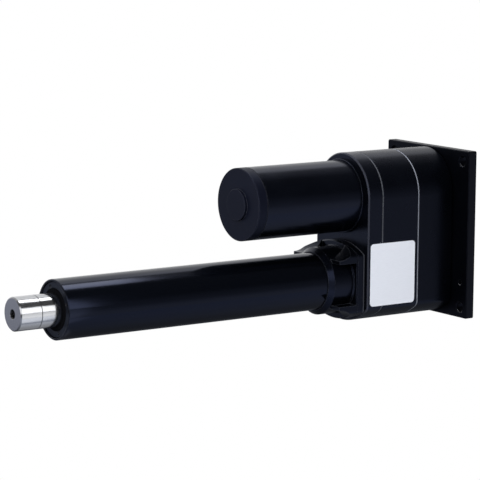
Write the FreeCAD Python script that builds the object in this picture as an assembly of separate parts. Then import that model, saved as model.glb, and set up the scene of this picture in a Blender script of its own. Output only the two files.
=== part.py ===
import FreeCAD, Part
import math
import os

Vector = FreeCAD.Vector

# Electric linear actuator. X runs along the rod axis towards the rod end, with X = 0 on the back of the
# mounting plate. Z is up, from the rod axis to the motor axis. Millimetres.

# Clearances
seat_gap = 0.02  # radial, between two pieces that are pressed or screwed together
running_gap = 0.05  # radial, between a shaft and its bush
free_gap = 0.3  # radial, where a moving piece only passes another
end_gap = 0.5  # along the axis, beside a turning piece
tooth_backlash = 0.12  # taken off the thickness of every gear tooth

# Gear train, from the motor through the idler to the screw
first_module = 1.5
motor_pinion_teeth = 17
idler_gear_teeth = 46
second_module = 2.0
idler_pinion_teeth = 15
screw_gear_teeth = 31
pressure_angle = math.radians(20)
first_face_width = 12.0
second_face_width = 18.0
pinion_overhang = 2.0  # a pinion is this much wider than its wheel at each side
stage_gap = 4.0
screw_gear_hub_radius = 13.0
idler_hub_radius = 9.5
idler_pin_radius = 6.0
idler_bush_wall = 2.0
idler_pin_seat = 7.0

idler_axis = second_module * (idler_pinion_teeth + screw_gear_teeth) / 2
motor_axis = idler_axis + first_module * (motor_pinion_teeth + idler_gear_teeth) / 2
idler_gear_tip = first_module * (idler_gear_teeth / 2 + 1)
screw_gear_tip = second_module * (screw_gear_teeth / 2 + 1)

# Gear housing: an arch over the motor axis, flat sides and a shallow arched bottom
housing_side_gap = 6.7  # beside the idler gear
housing_floor_gap = 8.7  # under the screw gear
bottom_arch_radius = 73.5
housing_wall = 5.5
inner_corner_radius = 3.0
rear_housing_length = 50.0
rear_wall = 9.0
rear_edge_radius = 3.0
gear_case_length = 49.2
front_cover_length = 19.3
front_wall = 12.3
cover_edge_chamfer = 1.4
joint_edge_chamfer = 0.5
gasket_thickness = 1.2
gasket_inset = 0.1

# Mounting plate
plate_thickness = 11.0
plate_width = 147.5
plate_height = 190.0
plate_drop = 0.3  # from the housing's bottom down to the plate's
plate_corner_radius = 2.0
plate_edge_chamfer = 0.8
plate_hole_radius = 5.5
plate_hole_inset = 12.0
plate_hole_chamfer = 0.8
dowel_hole_radius = 3.0
dowel_drop = 7.0  # below the rod axis

# Screws and bolts
case_bolt_radius = 3.0
case_bolt_head_radius = 5.0
case_bolt_head_height = 6.0
case_bolt_boss_radius = 6.5
case_bolt_grip = 14.0
top_bolt_inset = 10.5
side_bolt_inset = 8.7
side_bolt_gap = 3.7
low_bolt_gap = 4.5
low_bolt_angle = math.radians(-43)
bolt_hole_gap = 0.3
plate_screw_radius = 4.0
plate_screw_head_radius = 7.6
plate_screw_reach = 7.0
plate_screw_y = 24.0
plate_screw_drop = 5.0  # below the rod axis, and below the motor axis
small_screw_radius = 2.5
small_screw_head_radius = 4.25
small_screw_head_height = 5.0
small_screw_grip = 9.0
motor_screw_circle = 29.0
flange_screw_wall = 4.3  # between the outer tube and a flange screw
flange_screw_angle = math.radians(18)
flange_screw_head_gap = 1.45  # between a flange screw's head and the housing wall
hex_key_share = 0.55  # across the socket in a screw head, as a share of the head
hex_key_depth = 0.5  # as a share of the head's height
flat_head_key_share = 0.41  # across the socket in a countersunk head

# Tube flange: the casting that carries the outer tube on the front cover
flange_base_thickness = 11.0
flange_side_margin = 6.2  # from the flange screws out to the side
flange_crown_height = 6.6  # over the hub
flange_shoulder_drop = 12.3  # from the crown to the side's upper end
flange_corner_radius = 3.0
flange_hub_wall = 5.6
flange_hub_length = 37.1
flange_root_chamfer = 1.2
flange_rear_chamfer = 1.0
flange_nose_length = 5.7
flange_nose_wall = 1.1
flange_rib_bottom = 23.7
flange_rib_length = 24.1
flange_rib_front_height = 4.0
flange_rib_inner = 22.0

# Outer tube, its keyway and its front guide
tube_wall = 5.1
tube_rim_chamfer = 0.7
tube_rim = 2.1
tube_mouth_depth = 12.0
key_width = 6.0
key_slot_depth = 2.2
key_side_gap = 0.3
guide_length = 28.0
guide_lip = 2.0
guide_bush_wall = 2.5
guide_bush_length = 22.0
seal_depth = 4.4
seal_length = 5.5
wiper_plate_thickness = 4.0
wiper_plate_recess = 1.5
wiper_plate_outer_chamfer = 1.2
wiper_plate_inner_chamfer = 0.6
wiper_depth = 4.5
wiper_lip = 1.0
wiper_lip_depth = 1.0
wiper_back_relief = 1.5
wiper_screw_margin = 0.2
wiper_screw_start = 20.0
wiper_screw_radius = 1.5
wiper_screw_head_radius = 2.2
wiper_screw_sink = 0.5
wiper_screw_grip = 6.0
wiper_screw_count = 4

# Rod, nut and lead screw
stroke = 250.0
rod_radius = 18.0
rod_bore_gap = 1.0  # between the screw and the rod's bore
rod_showing = 23.2
rod_end_length = 25.3
rod_end_stub = 20.0
rod_end_chamfer = 1.2
rod_thread_radius = 4.25
rod_thread_depth = 18.0
rod_thread_mouth = 5.2
nut_length = 46.0
nut_wall = 6.0
nut_flange_step = 2.2
nut_flange_gap = 0.8
nut_front_gap = 29.0  # from the nut to the front guide with the rod out
nut_flange_length = 6.0
nut_socket_depth = 20.0
nut_back_gap = 9.0
guide_ring_length = 14.0
key_length = 14.0
key_seat_depth = 2.0
screw_radius = 11.0
screw_tip_stub_radius = 6.0
tip_guide_length = 6.0
screw_overrun = 10.0
lock_nut_length = 6.4
lock_nut_wall = 5.0
lock_nut_notch_width = 4.0
lock_nut_notch_depth = 2.0
screw_neck_radius = 9.2
gear_seat_radius = 8.5
gear_key_width = 5.0
gear_key_height = 5.0
gear_key_length = 14.0
sensor_magnet_radius = 7.0
sensor_magnet_length = 5.0

# Ball bearings
front_bore = 10.0
front_outer = 23.5
front_width = 14.0
rear_bore = 7.5
rear_outer = 17.5
rear_width = 11.0
motor_front_bore = 6.0
motor_front_outer = 16.0
motor_front_width = 10.0
motor_rear_bore = 5.0
motor_rear_outer = 15.0
motor_rear_width = 9.0
bearing_ball_share = 0.27  # ball radius, as a share of the ring depth
bearing_race_share = 0.3  # race depth, as a share of the ring depth
bearing_ball_count = 9
bearing_lip = 2.0
bearing_boss_wall = 5.5
rear_boss_step = 1.0  # from the joint back to the rear bosses
rear_bore_radius = 14.0
rear_step_radius = 11.0
sensor_board_thickness = 1.6
sensor_gap = 2.8
idler_boss_radius = 11.0

# Motor
motor_radius = 40.0
motor_can_wall = 4.0
motor_can_length = 126.0
motor_flange_radius = 41.6
motor_flange_thickness = 4.0
motor_spigot_radius = 22.0
motor_spigot_length = 6.0
bell_depth = 10.0
bell_boss_wall = 5.0
bell_edge_chamfer = 0.4
end_cap_length = 11.8
end_cap_bevel = 0.7
end_cap_groove = 0.8
end_cap_spigot_length = 6.0
end_cap_spigot_wall = 4.5
cap_boss_radius = 17.4
cap_boss_height = 3.4
cap_boss_bevel = 0.4
magnet_thickness = 4.8
magnet_length = 76.0
magnet_count = 4
magnet_arc = 72.0
air_gap = 0.7
core_start = 28.0  # from the front cover to the core
slot_count = 12
slot_width = 5.0
slot_mouth = 2.4
slot_bottom = 14.0
slot_lip = 2.5
slot_overcut = 1.0
coil_gap = 0.2
coil_overhang = 11.0
coil_inner_radius = 10.0
commutator_gap = 2.0
commutator_radius = 12.0
commutator_length = 15.0
commutator_end_gap = 8.0
commutator_bars = 18
commutator_slit = 0.6
commutator_slit_depth = 1.2
brush_width = 8.0
brush_length = 13.0
brush_box_wall = 2.0
brush_box_length = 12.0
brush_plate_thickness = 3.5
brush_plate_bore = 15.0

# Cable gland on the hidden side, and the blank nameplate on the near side
gland_x = 25.0  # from the plate to the gland
gland_drop = 2.0  # from the idler axis down to the gland
gland_thread_radius = 8.0
gland_bore_radius = 4.5
gland_hex = 22.0
gland_hex_length = 6.0
gland_neck_length = 9.0
gland_nut_length = 14.0
gland_nut_cover = 6.0
gland_lock_length = 4.5
gland_dome_step = 1.0
nameplate_length = 62.0
nameplate_height = 70.0
nameplate_thickness = 0.6
nameplate_radius = 4.0
nameplate_front_margin = 3.4
nameplate_centre_height = 9.0

# Radii and places across X that follow from the sizes
rod_bore_radius = screw_radius + rod_bore_gap
nut_radius = rod_radius + nut_wall
nut_flange_radius = nut_radius + nut_flange_step
tube_bore_radius = nut_flange_radius + nut_flange_gap
tube_radius = tube_bore_radius + tube_wall
tube_mouth_radius = tube_radius - tube_rim
seal_radius = rod_radius + seal_depth
wiper_radius = rod_radius + wiper_depth
wiper_screw_circle = wiper_radius + wiper_screw_margin + wiper_screw_head_radius
lock_nut_radius = front_bore + lock_nut_wall

flange_screw_circle = tube_radius + flange_screw_wall + small_screw_radius
flange_screw_y = flange_screw_circle * math.cos(flange_screw_angle)
flange_screw_z = flange_screw_circle * math.sin(flange_screw_angle)
flange_half_width = flange_screw_y + flange_side_margin
flange_hub_radius = tube_radius + flange_hub_wall
flange_crown = flange_hub_radius + flange_crown_height
flange_shoulder = flange_crown - flange_shoulder_drop
flange_rib_front_top = flange_rib_bottom + flange_rib_front_height

room_for_gear = idler_gear_tip + housing_side_gap
room_for_heads = flange_screw_y + small_screw_head_radius + flange_screw_head_gap
housing_half_width = max(room_for_gear, room_for_heads) + housing_wall
housing_bottom = screw_gear_tip + housing_floor_gap + housing_wall
plate_bottom = -(housing_bottom + plate_drop)
plate_centre_height = plate_bottom + plate_height / 2
gland_height = idler_axis - gland_drop

# Places along X that follow from the sizes
rear_joint = plate_thickness + rear_housing_length
case_back = rear_joint + gasket_thickness
case_front = case_back + gear_case_length
cover_back = case_front + gasket_thickness
cover_front = cover_back + front_cover_length
cover_inner = cover_front - front_wall
hub_front = cover_front + flange_hub_length

front_bearing_front = cover_front - bearing_lip
front_bearing_back = front_bearing_front - front_width
lock_nut_back = front_bearing_back - lock_nut_length
first_stage_front = lock_nut_back - end_gap
first_stage_back = first_stage_front - first_face_width
second_stage_front = first_stage_back - stage_gap - pinion_overhang
second_stage_back = second_stage_front - second_face_width
rear_boss_front = rear_joint - rear_boss_step
rear_bearing_front = rear_boss_front
rear_bearing_back = rear_bearing_front - rear_width
screw_back = rear_bearing_back - sensor_magnet_length
sensor_magnet_back = screw_back - sensor_magnet_length
sensor_board_front = sensor_magnet_back - sensor_gap
sensor_board_back = sensor_board_front - sensor_board_thickness

nut_back = cover_front + nut_back_gap
nut_front = nut_back + nut_length
guide_back = nut_front + stroke + nut_front_gap
guide_flange_back = guide_back + guide_length
tube_front = guide_flange_back + tube_mouth_depth
rod_back = nut_front - nut_socket_depth
rod_front = tube_front + rod_showing
rod_end_front = rod_front + rod_end_length
screw_front = nut_front + stroke + screw_overrun
wiper_plate_front = tube_front - wiper_plate_recess
wiper_plate_back = wiper_plate_front - wiper_plate_thickness
guide_bush_back = guide_back + guide_lip
seal_back = wiper_plate_back - seal_length

can_back = cover_front + motor_flange_thickness
can_front = can_back + motor_can_length
cap_front = can_front + end_cap_length
can_bore_radius = motor_radius - motor_can_wall
bell_front = can_back + bell_depth
motor_bearing_back = cover_front + bearing_lip
motor_bearing_front = motor_bearing_back + motor_front_width
cap_bearing_back = cap_front - bearing_lip - motor_rear_width
cap_bearing_front = cap_front - bearing_lip
core_back = cover_front + core_start
commutator_front = can_front - commutator_end_gap
commutator_back = commutator_front - commutator_length
core_front = commutator_back - commutator_gap - coil_overhang
core_radius = can_bore_radius - magnet_thickness - air_gap
brush_plate_front = can_front - end_cap_spigot_length
brush_plate_back = brush_plate_front - brush_plate_thickness
brush_box_back = brush_plate_back - brush_box_length
brush_middle = brush_plate_back - brush_box_length / 2


def cylinder(x0, x1, radius, y=0.0, z=0.0):
    return Part.makeCylinder(radius, x1 - x0, Vector(x0, y, z), Vector(1, 0, 0))


def ring(x0, x1, outer, inner, y=0.0, z=0.0):
    return cylinder(x0, x1, outer, y, z).cut(cylinder(x0, x1, inner, y, z))


def block(x0, x1, y0, y1, z0, z1):
    return Part.makeBox(x1 - x0, y1 - y0, z1 - z0, Vector(x0, y0, z0))


def turned(profile, z=0.0):
    """A solid turned about the line along X at height z, from corners given as (x, radius)."""
    profile = [p for p, before in zip(profile, profile[-1:] + profile[:-1]) if p != before]
    corners = [Vector(x, 0, z + radius) for x, radius in profile]
    face = Part.Face(Part.makePolygon(corners + corners[:1]))
    return face.revolve(Vector(0, 0, z), Vector(1, 0, 0), 360)


def turn_about(shape, degrees, y=0.0, z=0.0):
    copy = shape.copy()
    copy.rotate(Vector(0, y, z), Vector(1, 0, 0), degrees)
    return copy


def mirrored(shape):
    return shape.mirror(Vector(0, 0, 0), Vector(0, 1, 0))


def join(shapes):
    return shapes[0].fuse(shapes[1:]).removeSplitter()


def remove(shape, tools):
    return shape.cut(Part.makeCompound(tools))


def arc(a, b, c):
    return Part.Arc(a, b, c).toShape()


def arched_outline(half_width, centre_high, top, bottom, corner):
    """A closed outline across X with flat sides, given the arcs above and below as (centre, radius)."""

    def polar(centre, radius, y, z):
        reach = math.hypot(y, z - centre)
        return y / reach * radius, centre + (z - centre) / reach * radius

    def corner_of(centre, radius, sign):
        y = half_width - corner
        z = centre + sign * math.sqrt((radius - corner) ** 2 - y * y)
        ends = [(half_width, z), polar(centre, radius, y, z)]
        middle_y, middle_z = (ends[0][0] + ends[1][0]) / 2, (ends[0][1] + ends[1][1]) / 2
        reach = math.hypot(middle_y - y, middle_z - z)
        middle = (y + (middle_y - y) / reach * corner, z + (middle_z - z) / reach * corner)
        return ends[0], middle, ends[1]

    def at(point, side=1):
        return Vector(0, side * point[0], point[1])

    low = corner_of(bottom[0], bottom[1], -1)
    edges = []
    for side in (1, -1):
        edges.append(arc(at(low[0], side), at(low[1], side), at(low[2], side)))
    edges.append(arc(at(low[2]), Vector(0, 0, bottom[0] - bottom[1]), at(low[2], -1)))
    if top is None:
        high = [(half_width, centre_high)]
        edges.append(arc(at(high[0]), Vector(0, 0, centre_high + half_width), at(high[0], -1)))
    else:
        high = corner_of(top[0], top[1], 1)
        for side in (1, -1):
            edges.append(arc(at(high[0], side), at(high[1], side), at(high[2], side)))
        edges.append(arc(at(high[2]), Vector(0, 0, top[0] + top[1]), at(high[2], -1)))
    for side in (1, -1):
        edges.append(Part.makeLine(at(high[0], side), at(low[0], side)))
    return Part.Wire(Part.__sortEdges__(edges))


def housing_prism(inset, x0, x1):
    """The housing's section, drawn in by an inset, from x0 to x1."""
    bottom = (bottom_arch_radius - housing_bottom, bottom_arch_radius - inset)
    corner = inner_corner_radius + housing_wall - inset
    wire = arched_outline(housing_half_width - inset, motor_axis, None, bottom, corner)
    solid = Part.Face(wire).extrude(Vector(x1 - x0, 0, 0))
    solid.translate(Vector(x0, 0, 0))
    return solid


def end_edges(solid, x):
    """The edges that lie in the plane across X at x."""
    tiny = 1e-6
    return [e for e in solid.Edges if abs(e.BoundBox.XMin - x) < tiny and abs(e.BoundBox.XMax - x) < tiny]


def chamfered(solid, size, x):
    return solid.makeChamfer(size, end_edges(solid, x))


def both_sides(places):
    return [(side * y, z) for y, z in places for side in (1, -1)]


def case_bolt_places():
    top = (housing_half_width - top_bolt_inset) * math.sqrt(0.5)
    side_y = housing_half_width - side_bolt_inset
    side_reach = idler_gear_tip + side_bolt_gap + case_bolt_boss_radius
    side = (side_y, idler_axis + math.sqrt(side_reach**2 - side_y**2))
    reach = screw_gear_tip + case_bolt_boss_radius + low_bolt_gap
    low = (reach * math.cos(low_bolt_angle), reach * math.sin(low_bolt_angle))
    return both_sides([(top, motor_axis + top), side, low])


def plate_screw_places():
    heights = (-plate_screw_drop, motor_axis - plate_screw_drop)
    return both_sides([(plate_screw_y, z) for z in heights])


def motor_screw_places():
    angles = [math.radians(90 * i) for i in range(4)]
    return [(motor_screw_circle * math.cos(a), motor_axis + motor_screw_circle * math.sin(a)) for a in angles]


def flange_screw_places():
    return both_sides([(flange_screw_y, flange_screw_z), (flange_screw_y, -flange_screw_z)])


def hex_socket(x, depth, radius, y=0.0, z=0.0):
    """The hole for a hexagon key, from x along X, with its corners on a circle."""
    angles = [math.radians(60 * i) for i in range(6)]
    corners = [Vector(x, y + radius * math.cos(a), z + radius * math.sin(a)) for a in angles]
    return Part.Face(Part.makePolygon(corners + corners[:1])).extrude(Vector(depth, 0, 0))


def cap_screw(head_x, radius, head_radius, head_height, end_x, y, z, way=1):
    """A socket head screw along X: its head stands from head_x against the way, its shank runs to end_x."""
    start = head_x - way * head_height
    head = cylinder(min(start, head_x), max(start, head_x), head_radius, y, z)
    shank = cylinder(min(head_x, end_x), max(head_x, end_x), radius, y, z)
    socket = hex_socket(start, way * head_height * hex_key_depth, head_radius * hex_key_share, y, z)
    return head.fuse(shank).removeSplitter().cut(socket)


def ball_bearing(x0, bore, outer, width, z):
    """The outer race with its balls, which stay still, and the inner race, which turns with its shaft."""
    depth = outer - bore
    middle = (outer + bore) / 2
    ball = depth * bearing_ball_share
    centre = Vector(x0 + width / 2, 0, z)
    track = Part.makeTorus(middle, ball + running_gap, centre, Vector(1, 0, 0))
    race = depth * bearing_race_share
    still = ring(x0, x0 + width, outer - seat_gap, outer - race, z=z).cut(track)
    turning = ring(x0, x0 + width, bore + race, bore + seat_gap, z=z).cut(track)
    first = Part.makeSphere(ball, centre + Vector(0, middle, 0))
    balls = [turn_about(first, 360 * i / bearing_ball_count, z=z) for i in range(bearing_ball_count)]
    return Part.makeCompound([still] + balls), turning


def spur_gear(x0, x1, module, teeth, z, first_tooth):
    """A gear with involute teeth, one of them at the angle first_tooth, measured from +Y towards +Z."""
    pitch = module * teeth / 2
    base = pitch * math.cos(pressure_angle)
    tip = pitch + module
    root = pitch - 1.25 * module
    start = max(base, root)
    points_on_flank = 5

    def involute_angle(radius):
        roll = math.sqrt(max((radius / base) ** 2 - 1, 0))
        return roll - math.atan(roll)

    half_tooth = math.pi / (2 * teeth) - tooth_backlash / (2 * pitch) + involute_angle(pitch)

    def at(radius, angle):
        return Vector(x0, radius * math.cos(angle), z + radius * math.sin(angle))

    radii = [start + (tip - start) * i / (points_on_flank - 1) for i in range(points_on_flank)]
    edges = []
    for tooth in range(teeth):
        middle = first_tooth + 2 * math.pi * tooth / teeth
        left = [at(r, middle - half_tooth + involute_angle(r)) for r in radii]
        right = [at(r, middle + half_tooth - involute_angle(r)) for r in reversed(radii)]
        foot_left = at(root, middle - half_tooth + involute_angle(start))
        foot_right = at(root, middle + half_tooth - involute_angle(start))
        next_angle = middle + 2 * math.pi / teeth - half_tooth + involute_angle(start)
        space_middle = middle + math.pi / teeth
        if root < base:
            edges.append(Part.makeLine(foot_left, left[0]))
        for flank in (left, right):
            curve = Part.BSplineCurve()
            curve.interpolate(flank)
            edges.append(curve.toShape())
            if flank is left:
                edges.append(arc(left[-1], at(tip, middle), right[0]))
        if root < base:
            edges.append(Part.makeLine(right[-1], foot_right))
        edges.append(arc(foot_right, at(root, space_middle), at(root, next_angle)))
    face = Part.Face(Part.Wire(edges))
    return face.extrude(Vector(x1 - x0, 0, 0))


def hexagon(x, across, length, y0, z, way):
    """A hexagonal prism along Y from y0, with its axis at x and z."""
    corner = across / math.sqrt(3)
    corners = [
        Vector(x + corner * math.cos(math.radians(60 * i)), y0, z + corner * math.sin(math.radians(60 * i)))
        for i in range(6)
    ]
    return Part.Face(Part.makePolygon(corners + corners[:1])).extrude(Vector(0, way * length, 0))


def across(y0, y1, radius, x, z):
    """A cylinder along Y."""
    return Part.makeCylinder(radius, abs(y1 - y0), Vector(x, min(y0, y1), z), Vector(0, 1, 0))


parts = {}


# Mounting plate with four corner holes and two dowel holes
def mounting_plate():
    half = plate_width / 2
    plate = block(0, plate_thickness, -half, half, plate_bottom, plate_bottom + plate_height)
    upright = [e for e in plate.Edges if e.BoundBox.XLength > plate_thickness / 2]
    plate = plate.makeFillet(plate_corner_radius, upright)
    plate = chamfered(plate, plate_edge_chamfer, plate_thickness)
    plate = chamfered(plate, plate_edge_chamfer, 0)
    tools = []
    wide = plate_hole_radius + plate_hole_chamfer
    hole_y = half - plate_hole_inset
    hole_z = plate_height / 2 - plate_hole_inset
    for y in (hole_y, -hole_y):
        for z in (hole_z, -hole_z):
            hole = [
                (0, 0),
                (0, plate_hole_radius),
                (plate_thickness - plate_hole_chamfer, plate_hole_radius),
                (plate_thickness, wide),
                (plate_thickness, 0),
            ]
            tool = turned(hole)
            tool.translate(Vector(0, y, plate_centre_height + z))
            tools.append(tool)
        tools.append(cylinder(0, plate_thickness, dowel_hole_radius, y, -dowel_drop))
    sink = plate_screw_head_radius - plate_screw_radius
    for y, z in plate_screw_places():
        tools.append(cylinder(0, plate_thickness, plate_screw_radius + bolt_hole_gap, y, z))
        wide = plate_screw_head_radius + bolt_hole_gap
        cone = turned([(0, 0), (0, wide), (sink, plate_screw_radius + bolt_hole_gap), (sink, 0)])
        cone.translate(Vector(0, y, z))
        tools.append(cone)
    return remove(plate, tools)


def plate_screws():
    sink = plate_screw_head_radius - plate_screw_radius
    end = plate_thickness + plate_screw_reach
    profile = [
        (0, 0),
        (0, plate_screw_head_radius),
        (sink, plate_screw_radius),
        (end, plate_screw_radius),
        (end, 0),
    ]
    screw = turned(profile).cut(hex_socket(0, sink, plate_screw_head_radius * flat_head_key_share))
    screws = []
    for y, z in plate_screw_places():
        copy = screw.copy()
        copy.translate(Vector(0, y, z))
        screws.append(copy)
    return Part.makeCompound(screws)


parts["mounting_plate"] = mounting_plate()
parts["plate_screws"] = plate_screws()


# Gear housing: rear housing, gear case and front cover, with a gasket in each joint
def case_bosses(x0, x1):
    """The pillars that the case bolts run in, trimmed to the housing's inside wall."""
    pillars = [cylinder(x0, x1, case_bolt_boss_radius, y, z) for y, z in case_bolt_places()]
    inside = housing_prism(housing_wall / 2, x0, x1)
    return [pillar.common(inside) for pillar in pillars]


def bolt_holes(x0, x1, radius):
    return [cylinder(x0, x1, radius, y, z) for y, z in case_bolt_places()]


def rear_housing():
    body = housing_prism(0, plate_thickness, rear_joint)
    body = body.makeFillet(rear_edge_radius, end_edges(body, plate_thickness))
    body = chamfered(body, joint_edge_chamfer, rear_joint)
    floor = plate_thickness + rear_wall
    body = body.cut(housing_prism(housing_wall, floor, rear_joint))
    bearing_boss = rear_outer + bearing_boss_wall
    bosses = case_bosses(floor, rear_joint)
    bosses.append(cylinder(floor, rear_boss_front, bearing_boss))
    bosses.append(cylinder(floor, rear_boss_front, idler_boss_radius, 0, idler_axis))
    body = join([body] + bosses)
    tools = bolt_holes(plate_thickness, rear_joint, case_bolt_radius + bolt_hole_gap)
    head_room = case_bolt_head_radius + bolt_hole_gap
    tools += bolt_holes(plate_thickness, plate_thickness + case_bolt_head_height, head_room)
    for y, z in plate_screw_places():
        tools.append(cylinder(plate_thickness, floor, plate_screw_radius + seat_gap, y, z))
    tools.append(cylinder(rear_bearing_back, rear_boss_front, rear_outer))
    tools.append(cylinder(sensor_board_back, rear_bearing_back, rear_bore_radius))
    tools.append(cylinder(floor, sensor_board_back, rear_step_radius))
    pin_back = rear_boss_front - 2 * idler_pin_seat
    tools.append(cylinder(pin_back, rear_boss_front, idler_pin_radius + seat_gap, 0, idler_axis))
    gland_place = plate_thickness + gland_x
    inner = housing_half_width - housing_wall
    tools.append(
        across(-housing_half_width, -inner, gland_thread_radius + seat_gap, gland_place, gland_height)
    )
    return remove(body, tools)


def gasket(x0):
    x1 = x0 + gasket_thickness
    sheet = housing_prism(gasket_inset, x0, x1).cut(housing_prism(housing_wall, x0, x1))
    sheet = join([sheet] + case_bosses(x0, x1))
    return remove(sheet, bolt_holes(x0, x1, case_bolt_radius + bolt_hole_gap))


def gear_case():
    body = housing_prism(0, case_back, case_front)
    body = chamfered(body, joint_edge_chamfer, case_back)
    body = chamfered(body, joint_edge_chamfer, case_front)
    body = body.cut(housing_prism(housing_wall, case_back, case_front))
    body = join([body] + case_bosses(case_back, case_front))
    return remove(body, bolt_holes(case_back, case_front, case_bolt_radius + bolt_hole_gap))


def front_cover():
    body = housing_prism(0, cover_back, cover_front)
    body = chamfered(body, joint_edge_chamfer, cover_back)
    body = chamfered(body, cover_edge_chamfer, cover_front)
    body = body.cut(housing_prism(housing_wall, cover_back, cover_inner))
    bosses = case_bosses(cover_back, cover_inner)
    bearing_boss = front_outer + bearing_boss_wall
    bosses.append(cylinder(front_bearing_back, cover_inner, bearing_boss))
    body = join([body] + bosses)
    tools = bolt_holes(cover_back, cover_back + case_bolt_grip, case_bolt_radius + seat_gap)
    tools.append(cylinder(front_bearing_back, front_bearing_front, front_outer))
    lip = (front_bore + front_outer) / 2
    tools.append(cylinder(front_bearing_front, cover_front, lip))
    tools.append(cylinder(cover_inner, cover_front, motor_spigot_radius + seat_gap, 0, motor_axis))
    pin_front = cover_inner + idler_pin_seat
    tools.append(cylinder(cover_inner, pin_front, idler_pin_radius + seat_gap, 0, idler_axis))
    for y, z in motor_screw_places() + flange_screw_places():
        tools.append(cylinder(cover_inner, cover_front, small_screw_radius + bolt_hole_gap, y, z))
    return remove(body, tools)


def case_bolts():
    seat = plate_thickness + case_bolt_head_height
    end = cover_back + case_bolt_grip
    sizes = (case_bolt_radius, case_bolt_head_radius, case_bolt_head_height)
    return Part.makeCompound([cap_screw(seat, *sizes, end, y, z) for y, z in case_bolt_places()])


parts["rear_housing"] = rear_housing()
parts["rear_gasket"] = gasket(rear_joint)
parts["gear_case"] = gear_case()
parts["front_gasket"] = gasket(case_front)
parts["front_cover"] = front_cover()
parts["case_bolts"] = case_bolts()


# Tube flange with its hub, four corner ribs and the pockets between them
def flange_prism(x0, x1):
    rise = flange_crown - flange_shoulder
    radius = (flange_half_width**2 + rise**2) / (2 * rise)
    top = (flange_crown - radius, radius)
    bottom = (radius - flange_crown, radius)
    wire = arched_outline(flange_half_width, 0, top, bottom, flange_corner_radius)
    solid = Part.Face(wire).extrude(Vector(x1 - x0, 0, 0))
    solid.translate(Vector(x0, 0, 0))
    return solid


def tube_flange():
    base_front = cover_front + flange_base_thickness
    base = flange_prism(cover_front, base_front)
    base = chamfered(base, cover_edge_chamfer, base_front)
    base = chamfered(base, flange_rear_chamfer, cover_front)
    nose_radius = tube_radius + flange_nose_wall
    hub = turned(
        [
            (cover_front, 0),
            (cover_front, flange_hub_radius),
            (base_front, flange_hub_radius + flange_root_chamfer),
            (base_front + flange_root_chamfer, flange_hub_radius),
            (hub_front, flange_hub_radius),
            (hub_front + flange_nose_length, nose_radius),
            (hub_front + flange_nose_length, 0),
        ]
    )
    rib_front = base_front + flange_rib_length
    drop = flange_crown - flange_rib_front_top
    sweep_radius = (flange_rib_length**2 + drop**2) / (2 * drop)
    half_turn = math.atan2(drop, flange_rib_length)
    tip = Vector(rib_front, 0, flange_rib_front_top)
    sweep_middle = tip + Vector(-math.sin(half_turn), 0, 1 - math.cos(half_turn)) * sweep_radius
    foot, crown = Vector(base_front, 0, flange_rib_bottom), Vector(base_front, 0, flange_crown)
    edges = Part.makePolygon([crown, foot, Vector(rib_front, 0, flange_rib_bottom), tip]).Edges
    wedge = Part.Face(Part.Wire(edges + [arc(tip, sweep_middle, crown)]))
    wedge = wedge.extrude(Vector(0, flange_half_width - flange_rib_inner, 0))
    wedge.translate(Vector(0, flange_rib_inner, 0))
    high = wedge.common(flange_prism(base_front, rib_front))
    low = high.mirror(Vector(0, 0, 0), Vector(0, 0, 1))
    ribs = [high, low, mirrored(high), mirrored(low)]
    body = join([base, hub] + ribs)
    tools = [cylinder(cover_front, hub_front + flange_nose_length, tube_radius + seat_gap)]
    grip = cover_front + small_screw_grip
    for y, z in flange_screw_places():
        tools.append(cylinder(cover_front, grip, small_screw_radius + seat_gap, y, z))
    return remove(body, tools)


def inner_screws(places):
    """Screws whose heads sit inside the front cover and whose shanks run forward."""
    end = cover_front + small_screw_grip
    sizes = (small_screw_radius, small_screw_head_radius, small_screw_head_height)
    return Part.makeCompound([cap_screw(cover_inner, *sizes, end, y, z) for y, z in places])


parts["tube_flange"] = tube_flange()
parts["flange_screws"] = inner_screws(flange_screw_places())


# Outer tube and the guide, seal and wiper at its front
def outer_tube():
    rim = tube_front - tube_rim_chamfer
    tube = turned(
        [
            (cover_front, tube_bore_radius),
            (cover_front, tube_radius),
            (rim, tube_radius),
            (tube_front, tube_radius - tube_rim_chamfer),
            (tube_front, tube_mouth_radius),
            (guide_flange_back, tube_mouth_radius),
            (guide_flange_back, tube_bore_radius),
        ]
    )
    half = key_width / 2 + key_side_gap
    bottom = -(tube_bore_radius + key_slot_depth)
    return tube.cut(block(cover_front, guide_back, -half, half, bottom, 0))


def wiper_screw_places():
    angles = [math.radians(wiper_screw_start + 360 * i / wiper_screw_count) for i in range(wiper_screw_count)]
    return [(wiper_screw_circle * math.cos(a), wiper_screw_circle * math.sin(a)) for a in angles]


def front_guide():
    passage = rod_radius + free_gap
    bush = rod_radius + running_gap + guide_bush_wall + seat_gap
    bush_front = guide_bush_back + guide_bush_length
    guide = turned(
        [
            (guide_back, passage),
            (guide_back, tube_bore_radius - seat_gap),
            (guide_flange_back, tube_bore_radius - seat_gap),
            (guide_flange_back, tube_mouth_radius - seat_gap),
            (wiper_plate_back, tube_mouth_radius - seat_gap),
            (wiper_plate_back, seal_radius + seat_gap),
            (seal_back, seal_radius + seat_gap),
            (seal_back, passage),
            (bush_front, passage),
            (bush_front, bush),
            (guide_bush_back, bush),
            (guide_bush_back, passage),
        ]
    )
    grip = wiper_plate_back - wiper_screw_grip
    holes = [
        cylinder(grip, wiper_plate_back, wiper_screw_radius + seat_gap, y, z) for y, z in wiper_screw_places()
    ]
    return remove(guide, holes)


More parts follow.
